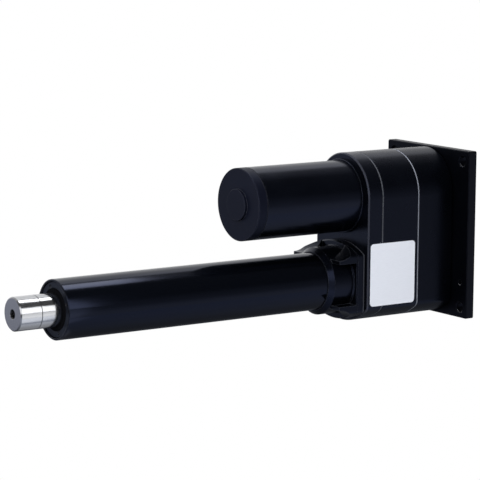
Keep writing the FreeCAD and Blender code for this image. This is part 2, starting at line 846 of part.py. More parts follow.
def wiper_plate():
    outer, inner = tube_mouth_radius - seat_gap, wiper_radius + seat_gap
    plate = turned(
        [
            (wiper_plate_back, inner),
            (wiper_plate_back, outer),
            (wiper_plate_front - wiper_plate_outer_chamfer, outer),
            (wiper_plate_front, outer - wiper_plate_outer_chamfer),
            (wiper_plate_front, inner + wiper_plate_inner_chamfer),
            (wiper_plate_front - wiper_plate_inner_chamfer, inner),
        ]
    )
    tools = []
    for y, z in wiper_screw_places():
        tools.append(cylinder(wiper_plate_back, wiper_plate_front, wiper_screw_radius + seat_gap, y, z))
        seat = wiper_plate_front - wiper_plate_thickness / 2
        tools.append(cylinder(seat, wiper_plate_front, wiper_screw_head_radius + seat_gap, y, z))
    return remove(plate, tools)


def wiper_plate_screws():
    seat = wiper_plate_front - wiper_plate_thickness / 2
    end = wiper_plate_back - wiper_screw_grip
    height = wiper_plate_thickness / 2 - wiper_screw_sink
    sizes = (wiper_screw_radius, wiper_screw_head_radius, height)
    return Part.makeCompound([cap_screw(seat, *sizes, end, y, z, way=-1) for y, z in wiper_screw_places()])


def rod_wiper():
    lip_front = wiper_plate_front + wiper_lip
    touch = rod_radius + running_gap
    return turned(
        [
            (wiper_plate_back, touch + wiper_back_relief),
            (wiper_plate_back, wiper_radius),
            (wiper_plate_front, wiper_radius),
            (lip_front, touch + wiper_lip_depth),
            (lip_front, touch),
            (wiper_plate_front, touch),
        ]
    )


parts["outer_tube"] = outer_tube()
parts["front_guide"] = front_guide()
parts["guide_bush"] = ring(
    guide_bush_back,
    guide_bush_back + guide_bush_length,
    rod_radius + running_gap + guide_bush_wall,
    rod_radius + running_gap,
)
parts["rod_seal"] = ring(seal_back, wiper_plate_back, seal_radius, rod_radius + running_gap)
parts["wiper_plate"] = wiper_plate()
parts["wiper_plate_screws"] = wiper_plate_screws()
parts["rod_wiper"] = rod_wiper()


# Rod, rod end, drive nut, guide ring and key, which slide together
def piston_rod():
    chamfer = rod_end_chamfer / 4
    return turned(
        [
            (rod_back, rod_bore_radius),
            (rod_back, rod_radius),
            (rod_front - chamfer, rod_radius),
            (rod_front, rod_radius - chamfer),
            (rod_front, rod_bore_radius),
        ]
    )


def rod_end():
    stub = rod_bore_radius - seat_gap
    chamfer = rod_end_chamfer / 4
    return turned(
        [
            (rod_front - rod_end_stub, 0),
            (rod_front - rod_end_stub, stub),
            (rod_front, stub),
            (rod_front, rod_radius - chamfer),
            (rod_front + chamfer, rod_radius),
            (rod_end_front - rod_end_chamfer, rod_radius),
            (rod_end_front, rod_radius - rod_end_chamfer),
            (rod_end_front, rod_thread_mouth),
            (rod_end_front - (rod_thread_mouth - rod_thread_radius), rod_thread_radius),
            (rod_end_front - rod_thread_depth, rod_thread_radius),
            (rod_end_front - rod_thread_depth, 0),
        ]
    )


def key_back():
    return nut_back + nut_flange_length + guide_ring_length + end_gap


def anti_turn_key():
    top = -(nut_radius - key_seat_depth)
    bottom = -(tube_bore_radius + key_slot_depth - free_gap)
    return block(key_back(), key_back() + key_length, -key_width / 2, key_width / 2, bottom, top)


def drive_nut():
    nut = turned(
        [
            (nut_back, screw_radius + running_gap),
            (nut_back, nut_flange_radius),
            (nut_back + nut_flange_length, nut_flange_radius),
            (nut_back + nut_flange_length, nut_radius),
            (nut_front, nut_radius),
            (nut_front, rod_radius + seat_gap),
            (rod_back, rod_radius + seat_gap),
            (rod_back, screw_radius + running_gap),
        ]
    )
    top = -(nut_radius - key_seat_depth)
    slot = block(key_back(), key_back() + key_length, -key_width / 2, key_width / 2, -nut_radius, top)
    return nut.cut(slot)


ring_back = nut_back + nut_flange_length
parts["piston_rod"] = piston_rod()
parts["rod_end"] = rod_end()
parts["drive_nut"] = drive_nut()
parts["guide_ring"] = ring(
    ring_back, ring_back + guide_ring_length, tube_bore_radius - free_gap, nut_radius + seat_gap
)
parts["anti_turn_key"] = anti_turn_key()


# Lead screw with its gear, key, lock nut, tip guide and sensor magnet
def lead_screw():
    screw = turned(
        [
            (screw_back, 0),
            (screw_back, rear_bore),
            (rear_bearing_front, rear_bore),
            (rear_bearing_front, gear_seat_radius),
            (second_stage_front, gear_seat_radius),
            (second_stage_front, screw_neck_radius),
            (lock_nut_back, screw_neck_radius),
            (lock_nut_back, front_bore),
            (front_bearing_front, front_bore),
            (front_bearing_front, screw_radius),
            (screw_front, screw_radius),
            (screw_front, screw_tip_stub_radius),
            (screw_front + tip_guide_length, screw_tip_stub_radius),
            (screw_front + tip_guide_length, 0),
        ]
    )
    return screw.cut(gear_key_solid())


def gear_key_solid():
    middle = (second_stage_back + second_stage_front) / 2
    low = gear_seat_radius - gear_key_height / 2
    half = gear_key_width / 2
    back = middle - gear_key_length / 2
    return block(back, back + gear_key_length, -half, half, low, low + gear_key_height)


def screw_gear():
    half_pitch = math.pi / screw_gear_teeth
    gear = spur_gear(
        second_stage_back, second_stage_front, second_module, screw_gear_teeth, 0, math.pi / 2 + half_pitch
    )
    hub = cylinder(rear_bearing_front, second_stage_back, screw_gear_hub_radius)
    body = join([gear, hub])
    bore = cylinder(rear_bearing_front, second_stage_front, gear_seat_radius + seat_gap)
    half = gear_key_width / 2
    top = gear_seat_radius + gear_key_height / 2
    slot = block(rear_bearing_front, second_stage_front, -half, half, 0, top)
    return remove(body, [bore, slot])


def screw_lock_nut():
    nut = ring(lock_nut_back, front_bearing_back, lock_nut_radius, front_bore + seat_gap)
    half = lock_nut_notch_width / 2
    floor = lock_nut_radius - lock_nut_notch_depth
    notch = block(lock_nut_back, front_bearing_back, -half, half, floor, lock_nut_radius)
    return remove(nut, [turn_about(notch, 90 * i) for i in range(4)])


front_still, front_turning = ball_bearing(front_bearing_back, front_bore, front_outer, front_width, 0)
rear_still, rear_turning = ball_bearing(rear_bearing_back, rear_bore, rear_outer, rear_width, 0)
parts["lead_screw"] = lead_screw()
parts["screw_gear"] = screw_gear()
parts["gear_key"] = gear_key_solid()
parts["screw_lock_nut"] = screw_lock_nut()
parts["screw_tip_guide"] = ring(
    screw_front, screw_front + tip_guide_length, rod_bore_radius - free_gap, screw_tip_stub_radius + seat_gap
)
parts["sensor_magnet"] = cylinder(sensor_magnet_back, screw_back, sensor_magnet_radius)
parts["screw_front_race"] = front_turning
parts["screw_rear_race"] = rear_turning
parts["screw_front_bearing"] = front_still
parts["screw_rear_bearing"] = rear_still
parts["sensor_board"] = cylinder(sensor_board_back, sensor_board_front, rear_bore_radius - seat_gap)


# Idler: a gear and a pinion that turn as one on a fixed pin
def idler_pinion():
    back = second_stage_back - pinion_overhang
    front = second_stage_front + pinion_overhang
    teeth = spur_gear(back, front, second_module, idler_pinion_teeth, idler_axis, -math.pi / 2)
    hub = cylinder(rear_boss_front + end_gap, cover_inner - end_gap, idler_hub_radius, 0, idler_axis)
    bore_radius = idler_pin_radius + running_gap + idler_bush_wall + seat_gap
    bore = cylinder(rear_boss_front, cover_inner, bore_radius, 0, idler_axis)
    return join([teeth, hub]).cut(bore)


def idler_gear():
    half_pitch = math.pi / idler_gear_teeth
    teeth = spur_gear(
        first_stage_back,
        first_stage_front,
        first_module,
        idler_gear_teeth,
        idler_axis,
        math.pi / 2 + half_pitch,
    )
    bore = cylinder(first_stage_back, first_stage_front, idler_hub_radius + seat_gap, 0, idler_axis)
    return teeth.cut(bore)


parts["idler_pin"] = cylinder(
    rear_boss_front - 2 * idler_pin_seat, cover_inner + idler_pin_seat, idler_pin_radius, 0, idler_axis
)
parts["idler_bush"] = ring(
    rear_boss_front + end_gap,
    cover_inner - end_gap,
    idler_pin_radius + running_gap + idler_bush_wall,
    idler_pin_radius + running_gap,
    z=idler_axis,
)
parts["idler_pinion"] = idler_pinion()
parts["idler_gear"] = idler_gear()


# Motor: can, bell, end cap, magnets and brushes stay still
def motor_front_bell():
    boss = motor_front_outer + bell_boss_wall
    inner_radius = can_bore_radius - seat_gap
    rim = inner_radius - bell_boss_wall
    web = can_back + bell_boss_wall
    shaft_hole = (motor_front_bore + motor_front_outer) / 2
    bell = turned(
        [
            (cover_front - motor_spigot_length, shaft_hole),
            (cover_front - motor_spigot_length, motor_spigot_radius),
            (cover_front, motor_spigot_radius),
            (cover_front, motor_flange_radius),
            (can_back - bell_edge_chamfer, motor_flange_radius),
            (can_back, motor_flange_radius - bell_edge_chamfer),
            (can_back, inner_radius),
            (bell_front, inner_radius),
            (bell_front, rim),
            (web, rim),
            (web, boss),
            (motor_bearing_front, boss),
            (motor_bearing_front, motor_front_outer),
            (motor_bearing_back, motor_front_outer),
            (motor_bearing_back, shaft_hole),
        ],
        motor_axis,
    )
    grip = cover_front + small_screw_grip
    holes = [
        cylinder(cover_front, grip, small_screw_radius + seat_gap, y, z) for y, z in motor_screw_places()
    ]
    return remove(bell, holes)


def motor_end_cap():
    inner_radius = can_bore_radius - seat_gap
    hollow = inner_radius - end_cap_spigot_wall
    seat = motor_rear_outer
    boss = seat + bell_boss_wall
    groove = motor_radius - end_cap_groove
    spigot = can_front - end_cap_spigot_length
    boss_front = cap_front + cap_boss_height
    return turned(
        [
            (spigot, hollow),
            (spigot, inner_radius),
            (can_front, inner_radius),
            (can_front, groove),
            (can_front + end_cap_groove, groove),
            (can_front + end_cap_groove, motor_radius),
            (cap_front - end_cap_bevel, motor_radius),
            (cap_front, motor_radius - end_cap_bevel),
            (cap_front, cap_boss_radius),
            (boss_front - cap_boss_bevel, cap_boss_radius),
            (boss_front, cap_boss_radius - cap_boss_bevel),
            (boss_front, 0),
            (cap_bearing_front, 0),
            (cap_bearing_front, seat),
            (cap_bearing_back, seat),
            (cap_bearing_back, boss),
            (cap_front - end_cap_spigot_wall, boss),
            (cap_front - end_cap_spigot_wall, hollow),
        ],
        motor_axis,
    )


def motor_magnets():
    outer = can_bore_radius - seat_gap
    middle = (core_back + core_front) / 2
    back = middle - magnet_length / 2
    inner = can_bore_radius - magnet_thickness
    start = Vector(back, inner, motor_axis)
    section = Part.Face(
        Part.makePolygon(
            [
                start,
                start + Vector(magnet_length, 0, 0),
                start + Vector(magnet_length, outer - inner, 0),
                start + Vector(0, outer - inner, 0),
                start,
            ]
        )
    )
    magnet = section.revolve(Vector(0, 0, motor_axis), Vector(1, 0, 0), magnet_arc)
    turns = [360 * i / magnet_count + (90 - magnet_arc) / 2 for i in range(magnet_count)]
    return Part.makeCompound([turn_about(magnet, turn, z=motor_axis) for turn in turns])


def brush_span():
    near = commutator_radius + free_gap
    return near, near + brush_length


def brush(side):
    near, far = brush_span()
    half = brush_width / 2
    solid = block(brush_middle - half, brush_middle + half, near, far, motor_axis - half, motor_axis + half)
    return solid if side > 0 else mirrored(solid)


def brush_holder():
    plate = ring(
        brush_plate_back, brush_plate_front, can_bore_radius - free_gap, brush_plate_bore, z=motor_axis
    )
    near, far = brush_span()
    half = brush_width / 2 + seat_gap
    shell = half + brush_box_wall
    box_near = commutator_radius + brush_box_wall
    box = block(
        brush_box_back,
        brush_plate_back,
        box_near,
        far + brush_box_wall,
        motor_axis - shell,
        motor_axis + shell,
    )
    hollow = block(
        brush_middle - half,
        brush_middle + half,
        box_near,
        far + seat_gap,
        motor_axis - half,
        motor_axis + half,
    )
    box = box.cut(hollow)
    return join([plate, box, mirrored(box)])


motor_front_still, motor_front_turning = ball_bearing(
    motor_bearing_back, motor_front_bore, motor_front_outer, motor_front_width, motor_axis
)
motor_rear_still, motor_rear_turning = ball_bearing(
    cap_bearing_back, motor_rear_bore, motor_rear_outer, motor_rear_width, motor_axis
)
parts["motor_front_bell"] = motor_front_bell()
parts["motor_can"] = ring(can_back, can_front, motor_radius, can_bore_radius, z=motor_axis)
parts["motor_end_cap"] = motor_end_cap()
parts["motor_screws"] = inner_screws(motor_screw_places())
parts["motor_magnets"] = motor_magnets()
parts["brush_holder"] = brush_holder()
parts["carbon_brushes"] = Part.makeCompound([brush(1), brush(-1)])
parts["motor_front_bearing"] = motor_front_still
parts["motor_rear_bearing"] = motor_rear_still


# Armature: shaft, core, windings, commutator and pinion turn together
def motor_shaft():
    return turned(
        [
            (first_stage_back - pinion_overhang, 0),
            (first_stage_back - pinion_overhang, motor_front_bore),
            (cap_bearing_back, motor_front_bore),
            (cap_bearing_back, motor_rear_bore),
            (cap_bearing_front - end_gap, motor_rear_bore),
            (cap_bearing_front - end_gap, 0),
        ],
        motor_axis,
    )


def slot_tools(gap):
    """One bar per armature slot, drawn in by a gap on every side."""
    half = slot_width / 2 - gap
    top = core_radius - slot_lip - gap
    bar = block(core_back, core_front, -half, half, motor_axis + slot_bottom + gap, motor_axis + top)
    return [turn_about(bar, 360 * i / slot_count, z=motor_axis) for i in range(slot_count)]


def armature_core():
    core = ring(core_back, core_front, core_radius, motor_front_bore + seat_gap, z=motor_axis)
    half = slot_mouth / 2
    top = motor_axis + core_radius + slot_overcut
    mouth = block(core_back, core_front, -half, half, motor_axis + slot_bottom, top)
    mouths = [turn_about(mouth, 360 * i / slot_count, z=motor_axis) for i in range(slot_count)]
    return remove(core, slot_tools(0) + mouths)


def armature_windings():
    outer = core_radius - slot_lip
    rings = [
        ring(core_back - coil_overhang, core_back, outer, coil_inner_radius, z=motor_axis),
        ring(core_front, core_front + coil_overhang, outer, coil_inner_radius, z=motor_axis),
    ]
    return join(rings + slot_tools(coil_gap))


def commutator():
    body = ring(
        commutator_back, commutator_front, commutator_radius, motor_front_bore + seat_gap, z=motor_axis
    )
    half = commutator_slit / 2
    floor = motor_axis + commutator_radius - commutator_slit_depth
    top = motor_axis + commutator_radius + slot_overcut
    slit = block(commutator_back, commutator_front, -half, half, floor, top)
    turns = [360 * i / commutator_bars for i in range(commutator_bars)]
    return remove(body, [turn_about(slit, turn, z=motor_axis) for turn in turns])


def motor_pinion():
    back = first_stage_back - pinion_overhang
    front = first_stage_front + pinion_overhang
    teeth = spur_gear(back, front, first_module, motor_pinion_teeth, motor_axis, -math.pi / 2)
    return teeth.cut(cylinder(back, front, motor_front_bore + seat_gap, 0, motor_axis))


parts["motor_shaft"] = motor_shaft()
parts["armature_core"] = armature_core()
parts["armature_windings"] = armature_windings()
parts["commutator"] = commutator()
parts["motor_pinion"] = motor_pinion()
parts["motor_front_race"] = motor_front_turning
parts["motor_rear_race"] = motor_rear_turning


# Cable gland: body through the far wall, lock nut inside, cap nut outside
def gland_body():
    x = plate_thickness + gland_x
    wall_out = -housing_half_width
    inner_end = wall_out + housing_wall + gland_lock_length
    neck_end = wall_out - gland_hex_length - gland_neck_length
    thread = across(inner_end, neck_end, gland_thread_radius, x, gland_height)
    flange = hexagon(x, gland_hex, gland_hex_length, wall_out, gland_height, -1)
    return join([thread, flange]).cut(across(inner_end, neck_end, gland_bore_radius, x, gland_height))


def gland_cap_nut():
    x = plate_thickness + gland_x
    near = -housing_half_width - gland_hex_length
    far = near - gland_nut_length
    skirt = hexagon(x, gland_hex, gland_nut_cover, near, gland_height, -1)
    dome = across(near - gland_nut_cover, far, gland_hex / 2 - gland_dome_step, x, gland_height)
    nut = join([skirt, dome])
    seat = across(near, near - gland_neck_length, gland_thread_radius + seat_gap, x, gland_height)
    return remove(nut, [seat, across(near, far, gland_bore_radius, x, gland_height)])


def gland_lock_nut():
    x = plate_thickness + gland_x
    start = -housing_half_width + housing_wall
    nut = hexagon(x, gland_hex, gland_lock_length, start, gland_height, 1)
    return nut.cut(across(start, start + gland_lock_length, gland_thread_radius + seat_gap, x, gland_height))


def nameplate():
    front = cover_front - nameplate_front_margin
    back = front - nameplate_length
    low = nameplate_centre_height - nameplate_height / 2
    near = housing_half_width
    outside = near + nameplate_thickness
    plate = block(back, front, near, outside, low, low + nameplate_height)
    corners = [e for e in plate.Edges if e.BoundBox.YLength > nameplate_thickness / 2]
    return plate.makeFillet(nameplate_radius, corners)


parts["gland_body"] = gland_body()
parts["gland_cap_nut"] = gland_cap_nut()
parts["gland_lock_nut"] = gland_lock_nut()
parts["nameplate"] = nameplate()

os.makedirs("parts", exist_ok=True)
for name, shape in parts.items():
    shape.exportStep("parts/" + name + ".step")
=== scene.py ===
import math
import bpy
from mathutils import Matrix, Vector


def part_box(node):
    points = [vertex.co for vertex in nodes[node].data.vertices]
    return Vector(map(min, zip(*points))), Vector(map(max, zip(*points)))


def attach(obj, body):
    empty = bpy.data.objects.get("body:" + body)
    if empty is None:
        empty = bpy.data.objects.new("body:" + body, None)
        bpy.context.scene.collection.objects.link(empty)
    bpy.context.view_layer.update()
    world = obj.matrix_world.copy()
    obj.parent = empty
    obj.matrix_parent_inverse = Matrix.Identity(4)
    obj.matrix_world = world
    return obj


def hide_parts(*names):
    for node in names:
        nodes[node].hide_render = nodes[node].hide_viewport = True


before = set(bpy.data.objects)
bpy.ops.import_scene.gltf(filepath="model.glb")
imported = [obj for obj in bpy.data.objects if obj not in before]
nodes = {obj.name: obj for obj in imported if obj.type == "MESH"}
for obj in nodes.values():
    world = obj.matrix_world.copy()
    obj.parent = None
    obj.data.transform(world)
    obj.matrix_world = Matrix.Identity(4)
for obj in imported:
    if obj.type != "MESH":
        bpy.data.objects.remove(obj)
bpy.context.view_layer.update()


# Mounting plate: a flat steel plate, sawn to size, drilled at the corners and then powder
# coated dull black all over, thinner on the sawn sides. Its edges are painted lighter, partly
# as wear and partly as a painted highlight, the upward-facing lower rims of its holes carry a
# painted highlight, and countersunk screws from behind hold it on the back of the gear housing.
def shader_of(finish):
    return finish.node_tree.nodes["Principled BSDF"]


def start_finish(name, colour, metallic, roughness, specular=0.5):
    """A material whose shader holds what is the same all over the surface."""
    finish = bpy.data.materials.new(name)
    finish.use_nodes = True
    sockets = shader_of(finish).inputs
    sockets["Base Color"].default_value = (*colour, 1.0)
    sockets["Metallic"].default_value = metallic
    sockets["Roughness"].default_value = roughness
    sockets["Specular IOR Level"].default_value = specular
    return finish


def add(finish, kind, **settings):
    node = finish.node_tree.nodes.new("ShaderNode" + kind)
    for name, value in settings.items():
        setattr(node, name, value)
    return node


def feed(finish, source, target):
    finish.node_tree.links.new(source, target)


def feed_shader(finish, source, socket):
    feed(finish, source, shader_of(finish).inputs[socket])


def on_piece(finish, stretch=(1, 1, 1), centre=(0, 0, 0)):
    """Places on the piece in metres, from a centre, stretched along X, Y and Z."""
    place = add(finish, "TexCoord")
    fit = add(finish, "Mapping")
    fit.inputs["Location"].default_value = [-c * s for c, s in zip(centre, stretch)]
    fit.inputs["Scale"].default_value = stretch
    feed(finish, place.outputs["Object"], fit.inputs["Vector"])
    return fit.outputs["Vector"]


def mottle(finish, where, scale, detail=2.0):
    cloud = add(finish, "TexNoise")
    cloud.inputs["Scale"].default_value = scale
    cloud.inputs["Detail"].default_value = detail
    feed(finish, where, cloud.inputs["Vector"])
    return cloud.outputs["Fac"]


cloud_low, cloud_high = 0.3, 0.7  # most of a mottle lies between these


def between(finish, value, low, high, start=cloud_low, stop=cloud_high):
    """Turns a value that runs from start to stop into one from low to high."""
    fit = add(finish, "MapRange")
    ends = {"From Min": start, "From Max": stop, "To Min": low, "To Max": high}
    for name, number in ends.items():
        fit.inputs[name].default_value = number
    feed(finish, value, fit.inputs["Value"])
    return fit.outputs["Result"]


def two_tones(finish, value, first, second):
    """A colour that follows a mottle from the first to the second."""
    ramp = add(finish, "ValToRGB")
    low, high = ramp.color_ramp.elements
    low.position, high.position = cloud_low, cloud_high
    low.color, high.color = (*first, 1.0), (*second, 1.0)
    feed(finish, value, ramp.inputs["Fac"])
    return ramp.outputs["Color"]


mix_share, mix_below, mix_above, mix_result = 0, 6, 7, 2  # a Mix node's sockets for colours


def laid_over(finish, mask, below, above):
    """One colour laid over another where the mask is 1."""
    mix = add(finish, "Mix", data_type="RGBA")
    feed(finish, mask, mix.inputs[mix_share])
    feed(finish, below, mix.inputs[mix_below])
    mix.inputs[mix_above].default_value = (*above, 1.0)
    return mix.outputs[mix_result]


edge_samples = 6
edge_turned, edge_flat = 0.8, 0.99  # how alike the directions are on an edge and off it


def rounded_edges(finish, width):
    """The surface direction with its edges broken, and a mask that is 1 on those edges."""
    broken = add(finish, "Bevel", samples=edge_samples)
    broken.inputs["Radius"].default_value = width
    flat = add(finish, "NewGeometry")
    facing = add(finish, "VectorMath", operation="DOT_PRODUCT")
    feed(finish, broken.outputs["Normal"], facing.inputs[0])
    feed(finish, flat.outputs["Normal"], facing.inputs[1])
    edge_mask = between(finish, facing.outputs["Value"], 1.0, 0.0, edge_turned, edge_flat)
    return broken.outputs["Normal"], edge_mask


def relief(finish, height, depth, direction=None):
    """Fine unevenness, on top of the surface's own direction or of a given one."""
    bump = add(finish, "Bump")
    bump.inputs["Distance"].default_value = depth
    feed(finish, height, bump.inputs["Height"])
    if direction is not None:
        feed(finish, direction, bump.inputs["Normal"])
    feed_shader(finish, bump.outputs["Normal"], "Normal")


coat_sheen = (0.45, 0.55, 1.0)
coat_clouds, coat_cloud_detail = 28.0, 5.0
coat_darker, coat_lighter = 0.8, 1.25
coat_glossier, coat_duller = 0.04, 0.06


def black_coat(name, colour, edge_tone, roughness, specular, peel, depth, edge, stretch=(1, 1, 1)):
    """A black coat with fine orange peel, cloudy gloss and edges in a lighter tone, which is wear
    and on some coats also a painted highlight.
    """
    finish = start_finish(name, colour, metallic=0.0, roughness=roughness, specular=specular)
    shader_of(finish).inputs["Specular Tint"].default_value = (*coat_sheen, 1.0)
    clouds = mottle(finish, on_piece(finish, stretch), coat_clouds, coat_cloud_detail)
    darker = [c * coat_darker for c in colour]
    lighter = [c * coat_lighter for c in colour]
    tones = two_tones(finish, clouds, darker, lighter)
    # The edge tone is laid on all edges: partly wear, partly painted highlight where the tone is
    # strong.
    direction, edge_mask = rounded_edges(finish, edge)
    feed_shader(finish, laid_over(finish, edge_mask, tones, edge_tone), "Base Color")
    gloss = between(finish, clouds, roughness - coat_glossier, roughness + coat_duller)
    feed_shader(finish, gloss, "Roughness")
    relief(finish, mottle(finish, on_piece(finish, stretch), peel), depth, direction)
    return finish


def along(finish, axis, where):
    parts = add(finish, "SeparateXYZ")
    feed(finish, where, parts.inputs["Vector"])
    return parts.outputs[axis]


def reckon(finish, operation, first, second):
    """Two values added or multiplied, or the greater of the two."""
    result = add(finish, "Math", operation=operation)
    feed(finish, first, result.inputs[0])
    feed(finish, second, result.inputs[1])
    return result.outputs["Value"]


def inside(finish, place, start, stop):
    """1 where a place lies from start to stop."""
    near = add(finish, "Math", operation="COMPARE")
    feed(finish, place, near.inputs[0])
    near.inputs[1].default_value = (start + stop) / 2
    near.inputs[2].default_value = (stop - start) / 2
    return near.outputs["Value"]


def lay(finish, mask, colour):
    """Lays a colour over what the finish has, where the mask is 1."""
    tones = shader_of(finish).inputs["Base Color"].links[0].from_socket
    feed_shader(finish, laid_over(finish, mask, tones, colour), "Base Color")


def wear(finish, *names):
    """Puts a finish on CAD nodes."""
    for name in names:
        for slot in nodes[name].material_slots:
            slot.material = finish


plate_black = (0.0006, 0.0007, 0.0012)
# The plate's lighter edge tone is partly wear and partly a painted highlight along its edges.
plate_wear_and_highlight = (0.020, 0.021, 0.025)
plate_finish = black_coat(
    "plate_powder_coat", plate_black, plate_wear_and_highlight,
    roughness=0.38, specular=0.20, peel=1500.0, depth=0.00003, edge=0.0007,
)
plate_low, plate_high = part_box("mounting_plate")
plate_sawn = (0.0045, 0.0047, 0.0059)
sawn_skin = 0.0003
plate_y = along(plate_finish, "Y", on_piece(plate_finish))
for plate_side in (plate_low.y, plate_high.y):
    sawn_side = inside(plate_finish, plate_y, plate_side - sawn_skin, plate_side + sawn_skin)
    lay(plate_finish, sawn_side, plate_sawn)
# Painted highlight: a pale glint colour on the lower rims of the holes, where a rim faces upwards.
painted_rim_glint = (0.30, 0.30, 0.32)
hole_rim, hole_margin = 0.0010, 0.004
glint_start, glint_full = 0.35, 0.55  # how far up a rim faces where the painted glint begins and where it is full
rim_way, rim = rounded_edges(plate_finish, hole_rim)
rim_up = between(plate_finish, along(plate_finish, "Z", rim_way), 0.0, 1.0, glint_start, glint_full)
plate_z = along(plate_finish, "Z", on_piece(plate_finish))
in_holes = inside(plate_finish, plate_z, plate_low.z + hole_margin, plate_high.z - hole_margin)
glint_rim = reckon(plate_finish, "MULTIPLY", rim, rim_up)
lay(plate_finish, reckon(plate_finish, "MULTIPLY", glint_rim, in_holes), painted_rim_glint)
wear(plate_finish, "mounting_plate")


# Gear housing: rear housing, gear case and front cover, three aluminium die castings that are
# blasted and sprayed satin black, each with its own gloss. They stack on the plate with long
# bolts. Their edges are painted lighter, partly as wear and partly as a painted highlight, and
# a lighter colour on the milled slope round the cover's front edge is a painted highlight.
housing_black = (0.0007, 0.0009, 0.0015)
housing_wear_and_highlight = (0.050, 0.053, 0.062)
casting_gloss = {"rear_housing": 0.36, "gear_case": 0.47, "front_cover": 0.56}
casting_paint = {}
for casting, gloss in casting_gloss.items():
    casting_paint[casting] = black_coat(
        casting + "_satin_paint", housing_black, housing_wear_and_highlight,
        roughness=0.26, specular=gloss, peel=2200.0, depth=0.00002, edge=0.0006,
    )
    wear(casting_paint[casting], casting)
cover_paint = casting_paint["front_cover"]
cover_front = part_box("front_cover")[1].x
# Painted highlight: a lighter colour laid on the milled slope round the cover's front edge.
milled_slope, face_skin = 0.0014, 0.0001
slope_painted_highlight = (0.024, 0.025, 0.030)
cover_x = along(cover_paint, "X", on_piece(cover_paint))
cover_slope = inside(cover_paint, cover_x, cover_front - milled_slope, cover_front - face_skin)
lay(cover_paint, cover_slope, slope_painted_highlight)


# Joint gaskets: two punched sheets of pale fibre, clamped between the castings. Their edges
# show as thin light lines round the housing, the front one in a darker colour.
grain_stretch, grain_detail = (1, 2.5, 1), 4.0
grain_gloss, grain_specular = 0.08, 0.4
grain_depth = 0.00008


def fine_grain(name, dark, light, roughness, scale):
    """A dull material, not metal, with a fine grain in tone, gloss and relief."""
    finish = start_finish(
        name, light, metallic=0.0, roughness=roughness, specular=grain_specular
    )
    grain = mottle(finish, on_piece(finish, grain_stretch), scale, grain_detail)
    feed_shader(finish, two_tones(finish, grain, dark, light), "Base Color")
    gloss = between(finish, grain, roughness - grain_gloss, roughness + grain_gloss)
    feed_shader(finish, gloss, "Roughness")
    relief(finish, grain, grain_depth)
    return finish


pale_fibre, pale_fibre_light = (0.14, 0.15, 0.18), (0.24, 0.255, 0.30)
darker_fibre, darker_fibre_light = (0.048, 0.052, 0.062), (0.082, 0.087, 0.103)
for gasket, fibre, fibre_light in (
    ("rear_gasket", pale_fibre, pale_fibre_light),
    ("front_gasket", darker_fibre, darker_fibre_light),
):
    wear(fine_grain(gasket + "_fibre", fibre, fibre_light, roughness=0.55, scale=900.0), gasket)


# Screws: socket head and countersunk screws of hardened steel with a black oxide skin, thin
# enough that the rims of heads and sockets shine through.
screw_black = (0.020, 0.020, 0.022)
screw_rim = (0.16, 0.16, 0.17)
oxide_metallic = 0.6
screws_finish = black_coat(
    "screws_black_oxide", screw_black, screw_rim,
    roughness=0.36, specular=0.5, peel=3000.0, depth=0.00003, edge=0.0003,
)
shader_of(screws_finish).inputs["Metallic"].default_value = oxide_metallic
wear(screws_finish, "plate_screws", "case_bolts", "wiper_plate_screws")
wear(screws_finish, "flange_screws", "motor_screws")


# Lead screw with its lock nut and key: bar steel, turned in steps for the bearings, the gear
# and the nut, with a two-start trapezoid thread along its length and the marks of the tool
# running round it. It turns in the two bearings and pushes the nut of the rod.
def from_middle(finish, middle, stretch=(1, 1, 1)):
    """Distance from a middle, along the axes that the stretch keeps."""
    length = add(finish, "VectorMath", operation="LENGTH")
    feed(finish, on_piece(finish, stretch, middle), length.inputs[0])
    return length.outputs["Value"]


def from_axis(finish, axis_height):
    """Distance from an axis along X."""
    return from_middle(finish, (0, 0, axis_height), (0, 1, 1))


line_detail = 3.0


def lathe_lines(finish, axis_height, fineness):
    """Fine lines round an axis along X: along the length on a shaft, by radius on an end face."""
    travel = along(finish, "X", on_piece(finish))
    lines = add(finish, "TexNoise", noise_dimensions="1D")
    lines.inputs["Scale"].default_value = fineness
    lines.inputs["Detail"].default_value = line_detail
    spread = reckon(finish, "ADD", travel, from_axis(finish, axis_height))
    feed(finish, spread, lines.inputs["W"])
    return lines.outputs["Fac"]


line_duller, line_glossier = 0.07, 0.05


def turned_metal(name, dark, light, roughness, axis_height, fineness, depth, edge=0.0003):
    """Metal off the lathe: lines round the axis in tone, gloss and relief, with broken edges."""
    finish = start_finish(name, light, metallic=1.0, roughness=roughness)
    lines = lathe_lines(finish, axis_height, fineness)
    feed_shader(finish, two_tones(finish, lines, dark, light), "Base Color")
    gloss = between(finish, lines, roughness + line_duller, roughness - line_glossier)
    feed_shader(finish, gloss, "Roughness")
    relief(finish, lines, depth, rounded_edges(finish, edge)[0])
    return finish


screw_axis = 0.0
steel_dark = (0.44, 0.45, 0.47)
steel_light = (0.60, 0.61, 0.63)
screw_finish = turned_metal(
    "screw_turned_steel", steel_dark, steel_light,
    roughness=0.28, axis_height=screw_axis, fineness=5000.0, depth=0.00004,
)
wear(screw_finish, "screw_lock_nut", "gear_key")


